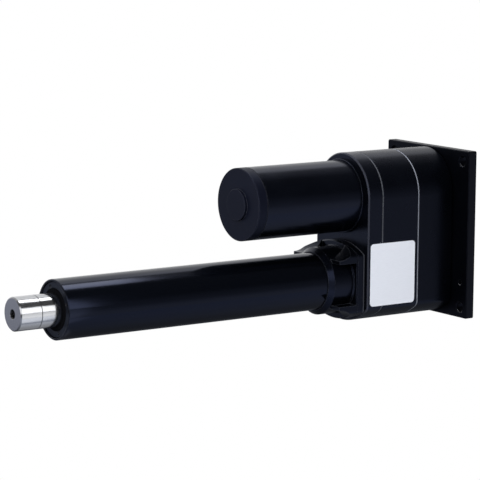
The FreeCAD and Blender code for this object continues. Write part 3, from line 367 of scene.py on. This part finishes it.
def turn_bar(name, steps, corners):
    """A bar turned about X: an end face, drawn out and widened from one (x, radius) to the next."""
    first_x, first_radius = steps[0]
    bpy.ops.object.select_all(action="DESELECT")
    bpy.ops.mesh.primitive_circle_add(
        vertices=corners,
        radius=first_radius,
        fill_type="NGON",
        location=(first_x, 0, 0),
        rotation=(0, math.pi / 2, 0),
    )
    bar = bpy.context.object
    bar.name = name
    bpy.ops.object.transform_apply(location=True, rotation=True, scale=True)
    bpy.ops.object.mode_set(mode="EDIT")
    bpy.ops.mesh.select_all(action="SELECT")
    for (x, radius), (next_x, next_radius) in zip(steps, steps[1:]):
        bpy.ops.mesh.extrude_region_move(TRANSFORM_OT_translate={"value": (next_x - x, 0, 0)})
        widen = next_radius / radius
        bpy.ops.transform.resize(value=(1, widen, widen), center_override=(next_x, 0, 0))
    bpy.ops.mesh.select_all(action="SELECT")
    bpy.ops.mesh.normals_make_consistent(inside=False)
    bpy.ops.object.mode_set(mode="OBJECT")
    return bar


thread_run_in, thread_spare_turns = 2, 3  # turns wound before the start, and to cut off in all
thread_seam = 10000  # how many of the gaps that a seam closes go into one lead
merge_gap = 1e-7


def wind_thread(name, start, stop, root, crest, lead, starts, crest_share, flank_share, corners):
    """A right-hand thread about X: one lead of its outline, wound round and cut off square."""
    bpy.ops.object.select_all(action="DESELECT")
    bpy.ops.mesh.primitive_plane_add(size=crest)
    thread = bpy.context.object
    thread.name = name
    bpy.ops.object.mode_set(mode="EDIT")
    bpy.ops.mesh.select_all(action="SELECT")
    bpy.ops.mesh.merge(type="CENTER")
    bpy.ops.transform.translate(value=(start - thread_run_in * lead, 0, root))
    pitch = lead / starts
    flank, depth = pitch * flank_share, crest - root
    top = pitch * crest_share
    outline = [(flank, depth), (top, 0), (flank, -depth), (pitch - top - 2 * flank, 0)]
    for forward, out in outline * starts:
        bpy.ops.mesh.extrude_vertices_move(TRANSFORM_OT_translate={"value": (forward, 0, out)})
    bpy.ops.object.mode_set(mode="OBJECT")
    bpy.ops.object.modifier_add(type="SCREW")
    winding = thread.modifiers[-1]
    winding.axis = "X"
    winding.screw_offset = lead
    winding.steps = winding.render_steps = corners
    winding.iterations = math.ceil((stop - start) / lead) + thread_spare_turns
    bpy.ops.object.modifier_apply(modifier=winding.name)
    bpy.ops.object.mode_set(mode="EDIT")
    bpy.ops.mesh.select_all(action="SELECT")
    bpy.ops.mesh.remove_doubles(threshold=lead / thread_seam)
    for place, side in ((start, {"clear_inner": True}), (stop, {"clear_outer": True})):
        bpy.ops.mesh.select_all(action="SELECT")
        bpy.ops.mesh.bisect(
            plane_co=(place, 0, 0), plane_no=(1, 0, 0), use_fill=True, threshold=merge_gap, **side
        )
    bpy.ops.mesh.select_all(action="SELECT")
    bpy.ops.mesh.normals_make_consistent(inside=False)
    bpy.ops.object.mode_set(mode="OBJECT")
    return thread


def pick(piece):
    bpy.ops.object.select_all(action="DESELECT")
    bpy.context.view_layer.objects.active = piece
    piece.select_set(True)


def machine(piece, tool, operation):
    """Joins a tool's shape to a piece or cuts it away, and clears the tool."""
    pick(piece)
    bpy.ops.object.modifier_add(type="BOOLEAN")
    cut = piece.modifiers[-1]
    cut.operation = operation
    cut.object = tool
    cut.solver = "EXACT"
    bpy.ops.object.modifier_apply(modifier=cut.name)
    bpy.data.objects.remove(tool)


sharp_edge = math.radians(30)


def deburr(piece, finish):
    """Merges what the machining left double, smooths round faces and gives the piece its finish."""
    pick(piece)
    bpy.ops.object.mode_set(mode="EDIT")
    bpy.ops.mesh.select_all(action="SELECT")
    bpy.ops.mesh.remove_doubles(threshold=merge_gap)
    bpy.ops.mesh.normals_make_consistent(inside=False)
    bpy.ops.object.mode_set(mode="OBJECT")
    bpy.ops.object.shade_smooth_by_angle(angle=sharp_edge)
    piece.data.materials.clear()
    piece.data.materials.append(finish)


thread_core, thread_root, thread_crest = 0.0080, 0.00825, 0.0110
thread_start, thread_stop = 0.1299, 0.4469
screw_steps = [  # (x, radius) from the rear end to the tip
    (0.0440, 0.0072),
    (0.0443, 0.0075),
    (0.0600, 0.0075),
    (0.0600, 0.0082),
    (0.0603, 0.0085),
    (0.0910, 0.0085),
    (0.0910, 0.0092),
    (0.1095, 0.0092),
    (0.1095, 0.0100),
    (thread_start, 0.0100),
    (thread_start, thread_core),
    (thread_stop, thread_core),
    (thread_stop, 0.0060),
    (0.4524, 0.0060),
    (0.4529, 0.0055),
]
lead_screw_piece = turn_bar("lead_screw_threaded", screw_steps, corners=64)
screw_thread = wind_thread(
    "screw_thread", thread_start, thread_stop, thread_root, thread_crest,
    lead=0.010, starts=2, crest_share=0.366, flank_share=0.147, corners=48,
)
machine(lead_screw_piece, screw_thread, "UNION")
keyway_middle = (0.082, 0, 0.0085)
keyway_size = (0.014, 0.005, 0.005)
bpy.ops.object.select_all(action="DESELECT")
bpy.ops.mesh.primitive_cube_add(size=1.0, location=keyway_middle, scale=keyway_size)
keyway = bpy.context.object
bpy.ops.object.transform_apply(location=True, rotation=True, scale=True)
machine(lead_screw_piece, keyway, "DIFFERENCE")
deburr(lead_screw_piece, screw_finish)
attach(lead_screw_piece, "screw")
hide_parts("lead_screw")


# Ball bearings: bright hardened rings and balls, ground and lapped. Two carry the screw, one
# on each side of its gear, and two carry the motor shaft.
motor_axis = 0.09325
race_dark = (0.58, 0.59, 0.61)
race_light = (0.70, 0.71, 0.73)
for turning, axis in (("screw", screw_axis), ("motor", motor_axis)):
    race_finish = turned_metal(
        turning + "_bearing_steel", race_dark, race_light,
        roughness=0.16, axis_height=axis, fineness=9000.0, depth=0.00001,
    )
    for end in ("_front", "_rear"):
        wear(race_finish, turning + end + "_bearing", turning + end + "_race")


# Gears: hobbed from alloy steel and case hardened, darker than the shafts, with a thin smear
# of grease that changes the gloss. The screw's gear is keyed to the screw.
idler_axis = 0.046
gear_dark = (0.26, 0.265, 0.28)
gear_light = (0.42, 0.43, 0.45)
smear_scale, smear_detail = 90.0, 4.0
smear_glossy, smear_dull = 0.24, 0.46


def gear_metal(name, axis_height):
    finish = turned_metal(
        name, gear_dark, gear_light,
        roughness=0.33, axis_height=axis_height, fineness=3500.0, depth=0.00004, edge=0.0004,
    )
    smear = mottle(finish, on_piece(finish), smear_scale, smear_detail)
    feed_shader(finish, between(finish, smear, smear_glossy, smear_dull), "Roughness")
    return finish


wear(gear_metal("screw_gear_steel", screw_axis), "screw_gear")
wear(gear_metal("idler_gear_steel", idler_axis), "idler_gear", "idler_pinion")
wear(gear_metal("motor_pinion_steel", motor_axis), "motor_pinion")


# Idler pin and motor shaft: ground steel pins. The idler turns on a sintered bronze bush,
# and the motor shaft carries the rotor.
for pin, axis in (("idler_pin", idler_axis), ("motor_shaft", motor_axis)):
    pin_finish = turned_metal(
        pin + "_steel", steel_dark, steel_light,
        roughness=0.22, axis_height=axis, fineness=8000.0, depth=0.00002,
    )
    wear(pin_finish, pin)


# Bronze pieces: the nut on the screw and the bushes of idler and rod, turned from bar, with
# the brown spots of old oil.
bronze_dark = (0.40, 0.23, 0.085)
bronze_light = (0.60, 0.38, 0.15)
spot_scale, spot_detail = 160.0, 5.0


def bronze_metal(name, axis_height):
    finish = turned_metal(
        name, bronze_dark, bronze_light,
        roughness=0.32, axis_height=axis_height, fineness=4000.0, depth=0.00004,
    )
    spots = mottle(finish, on_piece(finish), spot_scale, spot_detail)
    feed_shader(finish, two_tones(finish, spots, bronze_dark, bronze_light), "Base Color")
    return finish


wear(bronze_metal("rod_bronze", screw_axis), "drive_nut", "guide_bush")
wear(bronze_metal("idler_bronze", idler_axis), "idler_bush")


# Motor body: front bell, can and end cap. The can is drawn steel tube and the bell a casting,
# both sprayed satin black. The cap is a duller casting, pressed on when the motor is closed.
motor_black = (0.0007, 0.0009, 0.0015)
motor_worn = (0.030, 0.032, 0.038)
motor_finish = black_coat(
    "motor_satin_paint", motor_black, motor_worn,
    roughness=0.20, specular=0.58, peel=1800.0, depth=0.00001, edge=0.0006,
)
wear(motor_finish, "motor_can", "motor_front_bell")
cap_black = (0.0031, 0.0037, 0.0080)
cap_worn = (0.070, 0.073, 0.085)
cap_finish = black_coat(
    "motor_cap_dull_paint", cap_black, cap_worn,
    roughness=0.46, specular=0.28, peel=2400.0, depth=0.00002, edge=0.0005,
)
wear(cap_finish, "motor_end_cap")


# Motor magnets: four curved shells of sintered ferrite, dark grey and matt with a fine grain,
# glued to the inside of the can.
magnet_dark = (0.050, 0.050, 0.054)
magnet_light = (0.095, 0.095, 0.10)
magnet_finish = fine_grain("ferrite", magnet_dark, magnet_light, roughness=0.72, scale=1400.0)
wear(magnet_finish, "motor_magnets")


# Armature: a stack of thin steel sheets on the shaft, with enamelled copper wire wound in the
# slots and a turned copper commutator beside it.
wave_length = math.pi / 10  # of a band pattern with scale 1
sheet_wander, sheet_depth = 0.2, 0.00006
sheet_spots, sheet_spot_detail = 300.0, 3.0
sheet_glossier, sheet_duller = 0.08, 0.10


def stacked_sheets(name, dark, light, roughness, pitch):
    """Edges of thin sheets, side by side along X."""
    finish = start_finish(name, light, metallic=1.0, roughness=roughness)
    bands = add(finish, "TexWave", wave_type="BANDS", bands_direction="X", wave_profile="TRI")
    bands.inputs["Scale"].default_value = wave_length / pitch
    bands.inputs["Distortion"].default_value = sheet_wander
    feed(finish, on_piece(finish), bands.inputs["Vector"])
    feed_shader(finish, two_tones(finish, bands.outputs["Fac"], dark, light), "Base Color")
    spots = mottle(finish, on_piece(finish), sheet_spots, sheet_spot_detail)
    gloss = between(finish, spots, roughness - sheet_glossier, roughness + sheet_duller)
    feed_shader(finish, gloss, "Roughness")
    relief(finish, bands.outputs["Fac"], sheet_depth)
    return finish


core_dark = (0.11, 0.11, 0.115)
core_light = (0.26, 0.26, 0.27)
core_finish = stacked_sheets("core_sheets", core_dark, core_light, roughness=0.45, pitch=0.0005)
wear(core_finish, "armature_core")
copper_dark = (0.36, 0.11, 0.035)
copper_light = (0.66, 0.28, 0.12)
wire_finish = stacked_sheets(
    "wound_copper", copper_dark, copper_light, roughness=0.30, pitch=0.0008
)
wear(wire_finish, "armature_windings")
commutator_dark = (0.50, 0.22, 0.10)
commutator_light = (0.68, 0.31, 0.16)
commutator_finish = turned_metal(
    "commutator_copper", commutator_dark, commutator_light,
    roughness=0.26, axis_height=motor_axis, fineness=6000.0, depth=0.00003,
)
wear(commutator_finish, "commutator")


# Brush gear: a moulded black holder plate with two blocks of pressed carbon that rub on the
# commutator.
plastic_black = (0.018, 0.018, 0.020)
plastic_worn = (0.05, 0.05, 0.053)
holder_finish = black_coat(
    "holder_plastic", plastic_black, plastic_worn,
    roughness=0.48, specular=0.45, peel=1600.0, depth=0.00005, edge=0.0004,
)
wear(holder_finish, "brush_holder")
carbon_dark = (0.022, 0.022, 0.025)
carbon_light = (0.060, 0.060, 0.066)
brush_finish = fine_grain("pressed_carbon", carbon_dark, carbon_light, roughness=0.62, scale=2600.0)
wear(brush_finish, "carbon_brushes")


# Position sensor: a small round magnet on the back of the screw and a round board, its copper
# tracks under green lacquer, seated in the rear housing.
wear(magnet_finish, "sensor_magnet")
board_green = (0.018, 0.13, 0.055)
lacquer_dark, lacquer_light = (0.014, 0.11, 0.045), (0.020, 0.15, 0.065)
track_green = (0.10, 0.30, 0.12)
track_scale, track_width, track_height = 140.0, 0.018, 0.00004
lacquer_clouds, lacquer_cloud_detail = 500.0, 3.0
lacquer_glossy, lacquer_dull = 0.28, 0.44
board_finish = start_finish("board_solder_mask", board_green, metallic=0.0, roughness=0.36)
tracks = add(board_finish, "TexBrick")
tracks.inputs["Scale"].default_value = track_scale
tracks.inputs["Mortar Size"].default_value = track_width
tracks.inputs["Color1"].default_value = (*lacquer_dark, 1.0)
tracks.inputs["Color2"].default_value = (*lacquer_light, 1.0)
tracks.inputs["Mortar"].default_value = (*track_green, 1.0)
feed(board_finish, on_piece(board_finish), tracks.inputs["Vector"])
feed_shader(board_finish, tracks.outputs["Color"], "Base Color")
lacquer = mottle(board_finish, on_piece(board_finish), lacquer_clouds, lacquer_cloud_detail)
feed_shader(board_finish, between(board_finish, lacquer, lacquer_glossy, lacquer_dull), "Roughness")
relief(board_finish, tracks.outputs["Fac"], track_height)
wear(board_finish, "sensor_board")


# Tube flange: an aluminium casting with a hub and corner ribs, sprayed with the housing and
# held to the front cover by screws from inside. Its edges are painted lighter, partly as wear
# and partly as a painted highlight, and a lighter band round its joint face is a painted
# highlight. It clamps the outer tube.
flange_wear_and_highlight = (0.050, 0.053, 0.062)
joint_edge = 0.0026
joint_painted_highlight = (0.042, 0.044, 0.052)
flange_finish = black_coat(
    "flange_satin_paint", housing_black, flange_wear_and_highlight,
    roughness=0.24, specular=0.46, peel=1900.0, depth=0.00003, edge=0.0007,
)
# Painted highlight: a lighter band by the joint face, next to the front cover.
flange_x = along(flange_finish, "X", on_piece(flange_finish))
highlight_band = inside(flange_finish, flange_x, cover_front, cover_front + joint_edge)
lay(flange_finish, highlight_band, joint_painted_highlight)
wear(flange_finish, "tube_flange")


# Outer tube: extruded aluminium tube, ground and anodised glossy black, with faint drawing
# lines along its length. It sits in the flange and carries the rod guide at its front, where
# the recessed wall of the bored mouth is painted paler as painted light.
tube_black = (0.0006, 0.0008, 0.0013)
tube_worn = (0.045, 0.047, 0.055)
drawn_out = (0.03, 1, 1)
tube_finish = black_coat(
    "tube_anodised", tube_black, tube_worn,
    roughness=0.12, specular=0.50, peel=1200.0, depth=0.000005, edge=0.0005, stretch=drawn_out,
)
tube_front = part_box("outer_tube")[1].x
# Painted light: the recessed wall of the mouth is coloured paler where shade would fall.
mouth_depth, mouth_reach = 0.0017, 0.0303
mouth_painted_light = (0.034, 0.036, 0.044)
tube_x = along(tube_finish, "X", on_piece(tube_finish))
mouth_length = inside(tube_finish, tube_x, tube_front - mouth_depth, tube_front - face_skin)
mouth_width = inside(tube_finish, from_axis(tube_finish, screw_axis), 0.0, mouth_reach)
lay(tube_finish, reckon(tube_finish, "MULTIPLY", mouth_length, mouth_width), mouth_painted_light)
wear(tube_finish, "outer_tube")


# Guide pieces of the rod: aluminium front guide in the tube, nylon guide ring, key and screw
# tip guide, and the rubber seal and wiper that keep dirt out.
guide_dark = (0.56, 0.57, 0.59)
guide_light = (0.70, 0.71, 0.73)
guide_finish = turned_metal(
    "guide_aluminium", guide_dark, guide_light,
    roughness=0.30, axis_height=screw_axis, fineness=4500.0, depth=0.00004,
)
wear(guide_finish, "front_guide")
nylon_dark = (0.62, 0.61, 0.55)
nylon_light = (0.76, 0.75, 0.69)
nylon_milky, nylon_milk_scale = 0.15, 0.5
nylon_light_reach = (0.002, 0.002, 0.0015)
nylon_finish = fine_grain("nylon", nylon_dark, nylon_light, roughness=0.45, scale=700.0)
nylon_sockets = shader_of(nylon_finish).inputs
nylon_sockets["Subsurface Weight"].default_value = nylon_milky
nylon_sockets["Subsurface Radius"].default_value = nylon_light_reach
nylon_sockets["Subsurface Scale"].default_value = nylon_milk_scale
wear(nylon_finish, "guide_ring", "anti_turn_key", "screw_tip_guide")
rubber_black = (0.0024, 0.0024, 0.0027)
rubber_worn = (0.006, 0.006, 0.007)
rubber_finish = black_coat(
    "rubber", rubber_black, rubber_worn,
    roughness=0.80, specular=0.06, peel=2400.0, depth=0.00005, edge=0.0004,
)
wear(rubber_finish, "rod_seal", "rod_wiper")


# Wiper plate: a turned aluminium ring, anodised black, in the front of the tube. Four small
# screws hold it on the guide, and it keeps the wiper in.
wiper_plate_black = (0.005, 0.006, 0.009)
wiper_plate_worn = (0.05, 0.05, 0.06)
wiper_plate_finish = black_coat(
    "wiper_plate_anodised", wiper_plate_black, wiper_plate_worn,
    roughness=0.36, specular=0.40, peel=2600.0, depth=0.00003, edge=0.0004,
)
wear(wiper_plate_finish, "wiper_plate")


# Piston rod and rod end: ground bar with hard chrome. The rod end is a separate turned piece
# with a stub in the rod, so a fine dark joint line shows. Its face is coloured a little darker
# than the rod and has a tapped hole for the load, coloured darker round the hole.
rod_joint, rod_joint_reach = 0.5291, 0.00045
rod_joint_dark = (0.16, 0.16, 0.17)
rod_dark = (0.60, 0.61, 0.64)
rod_light = (0.74, 0.75, 0.78)
chrome_depth = 0.0000005
rod_finish = turned_metal(
    "rod_chrome", rod_dark, rod_light,
    roughness=0.15, axis_height=screw_axis, fineness=7000.0, depth=chrome_depth,
)
rod_x = along(rod_finish, "X", on_piece(rod_finish))
joint_line = inside(rod_finish, rod_x, rod_joint - rod_joint_reach, rod_joint)
lay(rod_finish, joint_line, rod_joint_dark)
wear(rod_finish, "piston_rod")
rod_end_finish = turned_metal(
    "rod_end_chrome", rod_dark, rod_light,
    roughness=0.17, axis_height=screw_axis, fineness=7000.0, depth=chrome_depth,
)
rod_face, rod_face_skin = 0.5544, 0.0003
rod_face_darker = (0.60, 0.59, 0.63)
tap_minor, tap_major, tap_skin = 0.00425, 0.0050, 0.0001
tap_darker = (0.20, 0.20, 0.21)
rod_end_x = along(rod_end_finish, "X", on_piece(rod_end_finish))
end_joint = inside(rod_end_finish, rod_end_x, rod_joint, rod_joint + rod_joint_reach)
lay(rod_end_finish, end_joint, rod_joint_dark)
# The end face is given a slightly darker colour than the rod.
end_face = inside(rod_end_finish, rod_end_x, rod_face - rod_face_skin, rod_face + rod_face_skin)
lay(rod_end_finish, end_face, rod_face_darker)
off_axis = from_axis(rod_end_finish, screw_axis)
# The tapped hole and the face just round it are coloured darker.
tapped = inside(rod_end_finish, off_axis, 0.0, tap_major + tap_skin)
lay(rod_end_finish, tapped, tap_darker)
stub_rear, stub_radius, rod_radius = 0.5091, 0.01198, 0.0180
joint_chamfer, face_chamfer = 0.0003, 0.0012
rod_end_steps = [  # (x, radius) from the stub to the face
    (stub_rear, stub_radius),
    (rod_joint, stub_radius),
    (rod_joint, rod_radius - joint_chamfer),
    (rod_joint + joint_chamfer, rod_radius),
    (rod_face - face_chamfer, rod_radius),
    (rod_face, rod_radius - face_chamfer),
]
rod_end_piece = turn_bar("rod_end_tapped", rod_end_steps, corners=128)
tap_depth, tap_pitch = 0.018, 0.0015
tap_corners = 40
tap = wind_thread(
    "tap", rod_face - tap_depth, rod_face + 2 * tap_pitch, tap_minor, tap_major,
    lead=tap_pitch, starts=1, crest_share=0.16, flank_share=0.27, corners=tap_corners,
)
machine(rod_end_piece, tap, "DIFFERENCE")
sink_radius, sink_depth, sink_over = 0.0053, 0.0012, 0.0010
sink_steps = [
    (rod_face - sink_depth, sink_radius - sink_depth),
    (rod_face, sink_radius),
    (rod_face + sink_over, sink_radius + sink_over),
]
countersink = turn_bar("countersink", sink_steps, tap_corners)
machine(rod_end_piece, countersink, "DIFFERENCE")
deburr(rod_end_piece, rod_end_finish)
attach(rod_end_piece, "rod")
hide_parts("rod_end")


# Cable gland: moulded black nylon body, cap nut and lock nut, screwed into the side of the
# rear housing where the motor lead comes out.
gland_finish = black_coat(
    "gland_plastic", plastic_black, plastic_worn,
    roughness=0.44, specular=0.45, peel=1300.0, depth=0.00006, edge=0.0005,
)
wear(gland_finish, "gland_body", "gland_cap_nut", "gland_lock_nut")


# Nameplate: a thin pale plate, blank, with rounded corners, glued to the side of the housing
# across the front joint. Its lacquer is satin with a faint brushed grain.
label_dark = (0.715, 0.737, 0.803)
label_light = (0.760, 0.783, 0.850)
brushed_out = (0.06, 1, 1)
brushed_scale, brushed_detail, brushed_depth = 2600.0, 3.0, 0.00002
label_glossy, label_dull = 0.44, 0.58
label_finish = start_finish(
    "label_lacquer", label_light, metallic=0.0, roughness=0.5, specular=0.3
)
brushing = mottle(label_finish, on_piece(label_finish, brushed_out), brushed_scale, brushed_detail)
feed_shader(label_finish, two_tones(label_finish, brushing, label_dark, label_light), "Base Color")
feed_shader(label_finish, between(label_finish, brushing, label_glossy, label_dull), "Roughness")
relief(label_finish, brushing, brushed_depth)
wear(label_finish, "nameplate")


# Floor: a pale table top well below the actuator, which is held up by its plate. It lights
# the underside and takes the soft shadow, its colour darkens towards a painted shadow under
# the object, and further off it runs into the white background.
scene = bpy.context.scene
floor_height = -0.50
floor_left, floor_right, floor_far, floor_near = 16.0, -22.0, -30.0, 1.0
bpy.ops.object.select_all(action="DESELECT")
bpy.ops.mesh.primitive_grid_add(x_subdivisions=8, y_subdivisions=8, size=2.0, location=(0, 0, 0))
floor = bpy.context.object
floor.name = "floor"
for corner in floor.data.vertices:  # the grid runs from -1 to 1 both ways
    corner.co.x = floor_right + (corner.co.x + 1) / 2 * (floor_left - floor_right)
    corner.co.y = floor_far + (corner.co.y + 1) / 2 * (floor_near - floor_far)
    corner.co.z = floor_height
floor_pale = (0.40, 0.40, 0.40)
# Painted shadow: the floor's colour darkens towards the spot under the object.
painted_floor_shadow, painted_shadow_reach = (0.13, 0.13, 0.13), 0.65
dust_scale, dust_detail, dust_darker = 3.0, 4.0, 0.985
floor_finish = start_finish("floor_pale", floor_pale, metallic=0.0, roughness=0.8, specular=0.1)
floor_middle = (0.25, 0.0, floor_height)
away = from_middle(floor_finish, floor_middle)
painted_shadow_mask = between(floor_finish, away, 1.0, 0.0, 0.0, painted_shadow_reach)
dust = mottle(floor_finish, on_piece(floor_finish), dust_scale, dust_detail)
paper = two_tones(floor_finish, dust, [c * dust_darker for c in floor_pale], floor_pale)
feed_shader(floor_finish, laid_over(floor_finish, painted_shadow_mask, paper, painted_floor_shadow), "Base Color")


def own_light(finish, kind, colour, strength=1.0):
    light = add(finish, kind)
    light.inputs["Color"].default_value = (*colour, 1.0)
    light.inputs["Strength"].default_value = strength
    return light


def shaded(finish, value, stops):
    """A light that goes from one (value, strength) to the next."""
    start, stop = stops[0][0], stops[-1][0]
    ramp = add(finish, "ValToRGB")
    while len(ramp.color_ramp.elements) < len(stops):
        ramp.color_ramp.elements.new(0.5)
    for element, (place, light) in zip(ramp.color_ramp.elements, stops):
        element.position = (place - start) / (stop - start)
        element.color = (light, light, light, 1.0)
    feed(finish, between(finish, value, 0.0, 1.0, start, stop), ramp.inputs["Fac"])
    return ramp.outputs["Color"]


def in_mirrors(finish, rays):
    """1 for a ray that comes off a glossy surface or through a clear one."""
    glossy, clear = rays.outputs["Is Glossy Ray"], rays.outputs["Is Transmission Ray"]
    return reckon(finish, "MAXIMUM", glossy, clear)


def mixed(finish, share, first, second):
    mix = add(finish, "MixShader")
    feed(finish, share, mix.inputs["Fac"])
    feed(finish, first, mix.inputs[1])
    feed(finish, second, mix.inputs[2])
    return mix.outputs["Shader"]


pure_white = (1.0, 1.0, 1.0)
floor_white_from, floor_white_at = 0.35, 0.90
floor_glow_near, floor_glow_far = 0.70, 1.0
floor_mirrored_tint = (0.80, 0.86, 1.0)
floor_mirrored = [  # (y, strength) from far behind the object to the camera's side; the low strengths under and behind the object are a painted shadow
    (-4.0, 0.42),
    (-3.0, 0.42),
    (-1.3, 0.16),
    (-0.28, 0.07),
    (-0.05, 0.14),
    (0.18, 0.30),
    (0.45, 0.42),
    (1.0, 0.46),
]
floor_light = own_light(floor_finish, "Emission", pure_white)
floor_mirror = own_light(floor_finish, "Emission", floor_mirrored_tint)
floor_y = along(floor_finish, "Y", on_piece(floor_finish))
feed(floor_finish, shaded(floor_finish, floor_y, floor_mirrored), floor_mirror.inputs["Strength"])
floor_rays = add(floor_finish, "LightPath")
glow = between(
    floor_finish, away, floor_glow_near, floor_glow_far, floor_white_from, floor_white_at
)
floor_in_view = mixed(
    floor_finish,
    reckon(floor_finish, "MULTIPLY", floor_rays.outputs["Is Camera Ray"], glow),
    shader_of(floor_finish).outputs["BSDF"],
    floor_light.outputs["Emission"],
)
floor_surface = mixed(
    floor_finish,
    in_mirrors(floor_finish, floor_rays),
    floor_in_view,
    floor_mirror.outputs["Emission"],
)
feed(floor_finish, floor_surface, floor_finish.node_tree.nodes["Material Output"].inputs["Surface"])
floor.data.materials.append(floor_finish)


# Studio round the object: a white wall behind it with a light panel over its top edge, and a
# dim room on the side where the camera stands. The camera sees white all round.
wall_stops = [  # (y of the direction, strength) from behind the object to the camera's side
    (-1.00, 0.88),
    (-0.70, 0.78),
    (-0.60, 0.68),
    (-0.46, 0.94),
    (-0.41, 0.90),
    (-0.33, 0.20),
    (-0.14, 0.20),
    (0.02, 0.12),
    (0.14, 0.045),
    (1.00, 0.045),
]
low_stops = [  # (z of the direction, strength) from below to above
    (-1.00, 0.46),
    (-0.24, 0.39),
    (-0.13, 0.27),
    (-0.05, 0.19),
    (0.15, 0.13),
    (0.30, 0.05),
    (1.00, 0.05),
]
# Each light fades between two values of the direction's x, down to the share that is named last.
wall_fade_from, wall_fade_to, wall_faded = -0.20, 0.35, 0.50
low_fade_from, low_fade_to, low_faded = -0.45, 0.10, 0.20
room_tint, room_level = (0.95, 0.97, 1.0), 0.72
world = bpy.data.worlds.new("studio")
world.use_nodes = True
scene.world = world
world.node_tree.nodes.clear()
way = add(world, "TexCoord").outputs["Generated"]
way_x, way_y, way_z = (along(world, axis, way) for axis in "XYZ")
wall_fade = between(world, way_x, 1.0, wall_faded, wall_fade_from, wall_fade_to)
low_fade = between(world, way_x, 1.0, low_faded, low_fade_from, low_fade_to)
wall_light = reckon(world, "MULTIPLY", shaded(world, way_y, wall_stops), wall_fade)
low_light = reckon(world, "MULTIPLY", shaded(world, way_z, low_stops), low_fade)
room = own_light(world, "Background", pure_white)
feed(world, reckon(world, "MAXIMUM", wall_light, low_light), room.inputs["Strength"])
room_light = own_light(world, "Background", room_tint, room_level)
white = own_light(world, "Background", pure_white)
rays = add(world, "LightPath")
around = mixed(
    world, in_mirrors(world, rays), room_light.outputs["Background"], room.outputs["Background"]
)
in_view = mixed(world, rays.outputs["Is Camera Ray"], around, white.outputs["Background"])
feed(world, in_view, add(world, "OutputWorld").inputs["Surface"])


# Lamps: a long soft box overhead and a large one on the left for plain light, three small
# cards beside the rod and one under it, one before its end, and one over the front of the tube.
def stand(place, back, roll=0.0):
    """How a lamp or a camera stands: at a place, with its back one way, its top up and a roll."""
    side = Vector((0, 0, 1)).cross(back).normalized()
    up = back.cross(side)
    across = math.cos(roll) * side + math.sin(roll) * up
    upward = math.cos(roll) * up - math.sin(roll) * side
    return Matrix.Translation(place) @ Matrix((across, upward, back)).transposed().to_4x4()


def soft_box(name, place, aim, length, height, power):
    lamp = bpy.data.lights.new(name, "AREA")
    lamp.shape = "RECTANGLE"
    lamp.size = length
    lamp.size_y = height
    lamp.energy = power
    box = bpy.data.objects.new(name, lamp)
    scene.collection.objects.link(box)
    box.matrix_world = stand(place, (Vector(place) - Vector(aim)).normalized())
    box.visible_camera = False
    return box


object_middle = (0.25, 0.0, 0.05)
overhead_box = soft_box(
    "overhead_box", (-0.1, -0.3, 1.45), object_middle, length=1.6, height=1.0, power=14.0
)
left_box = soft_box(
    "left_box", (1.70, 0.75, 1.00), object_middle, length=1.4, height=1.1, power=37.5
)
for plain_box in (overhead_box, left_box):
    plain_box.visible_glossy = False
rod_middle = (0.53, 0.0, 0.0)
soft_box("rod_card", (0.400, 0.272, 0.119), rod_middle, length=0.12, height=0.183, power=0.113)
soft_box("rod_low_card", (0.400, 0.29, -0.05), rod_middle, length=0.12, height=0.14, power=0.034)
soft_box("rod_floor_card", (0.400, 0.25, -0.20), rod_middle, length=0.12, height=0.16, power=0.030)
rod_near_tube = (0.507, -0.02, 0.0)
soft_box(
    "rod_under_card", (0.507, -0.01, -0.10), rod_near_tube, length=0.10, height=0.12, power=0.0075
)
rod_end_rim = (rod_face, 0.015, 0.005)
soft_box("rim_card", (0.874, 0.183, 0.145), rod_end_rim, length=0.14, height=0.27, power=0.155)
tube_aim = (0.45, -0.065, 0.0)
soft_box("tube_card", (0.13, -0.065, 0.63), tube_aim, length=0.25, height=0.16, power=0.40)


# Camera: a long lens on a stand, before the front of the actuator and to its left, a little
# higher than the tube and rolled by less than half a degree.
camera_place = (1.79453, 2.19731, 0.46493)
camera_azimuth = math.radians(145.263)
camera_elevation = math.radians(8.73)
camera_roll = math.radians(0.444)
camera_back = Vector(
    (
        math.sin(camera_azimuth) * math.cos(camera_elevation),
        -math.cos(camera_azimuth) * math.cos(camera_elevation),
        math.sin(camera_elevation),
    )
)
lens = bpy.data.cameras.new("camera")
lens.sensor_width = 36.0
lens.lens = 186.59
lens.clip_end = 100.0
camera = bpy.data.objects.new("camera", lens)
scene.collection.objects.link(camera)
camera.matrix_world = stand(camera_place, camera_back, camera_roll)
scene.camera = camera
scene.view_settings.view_transform = "Standard"
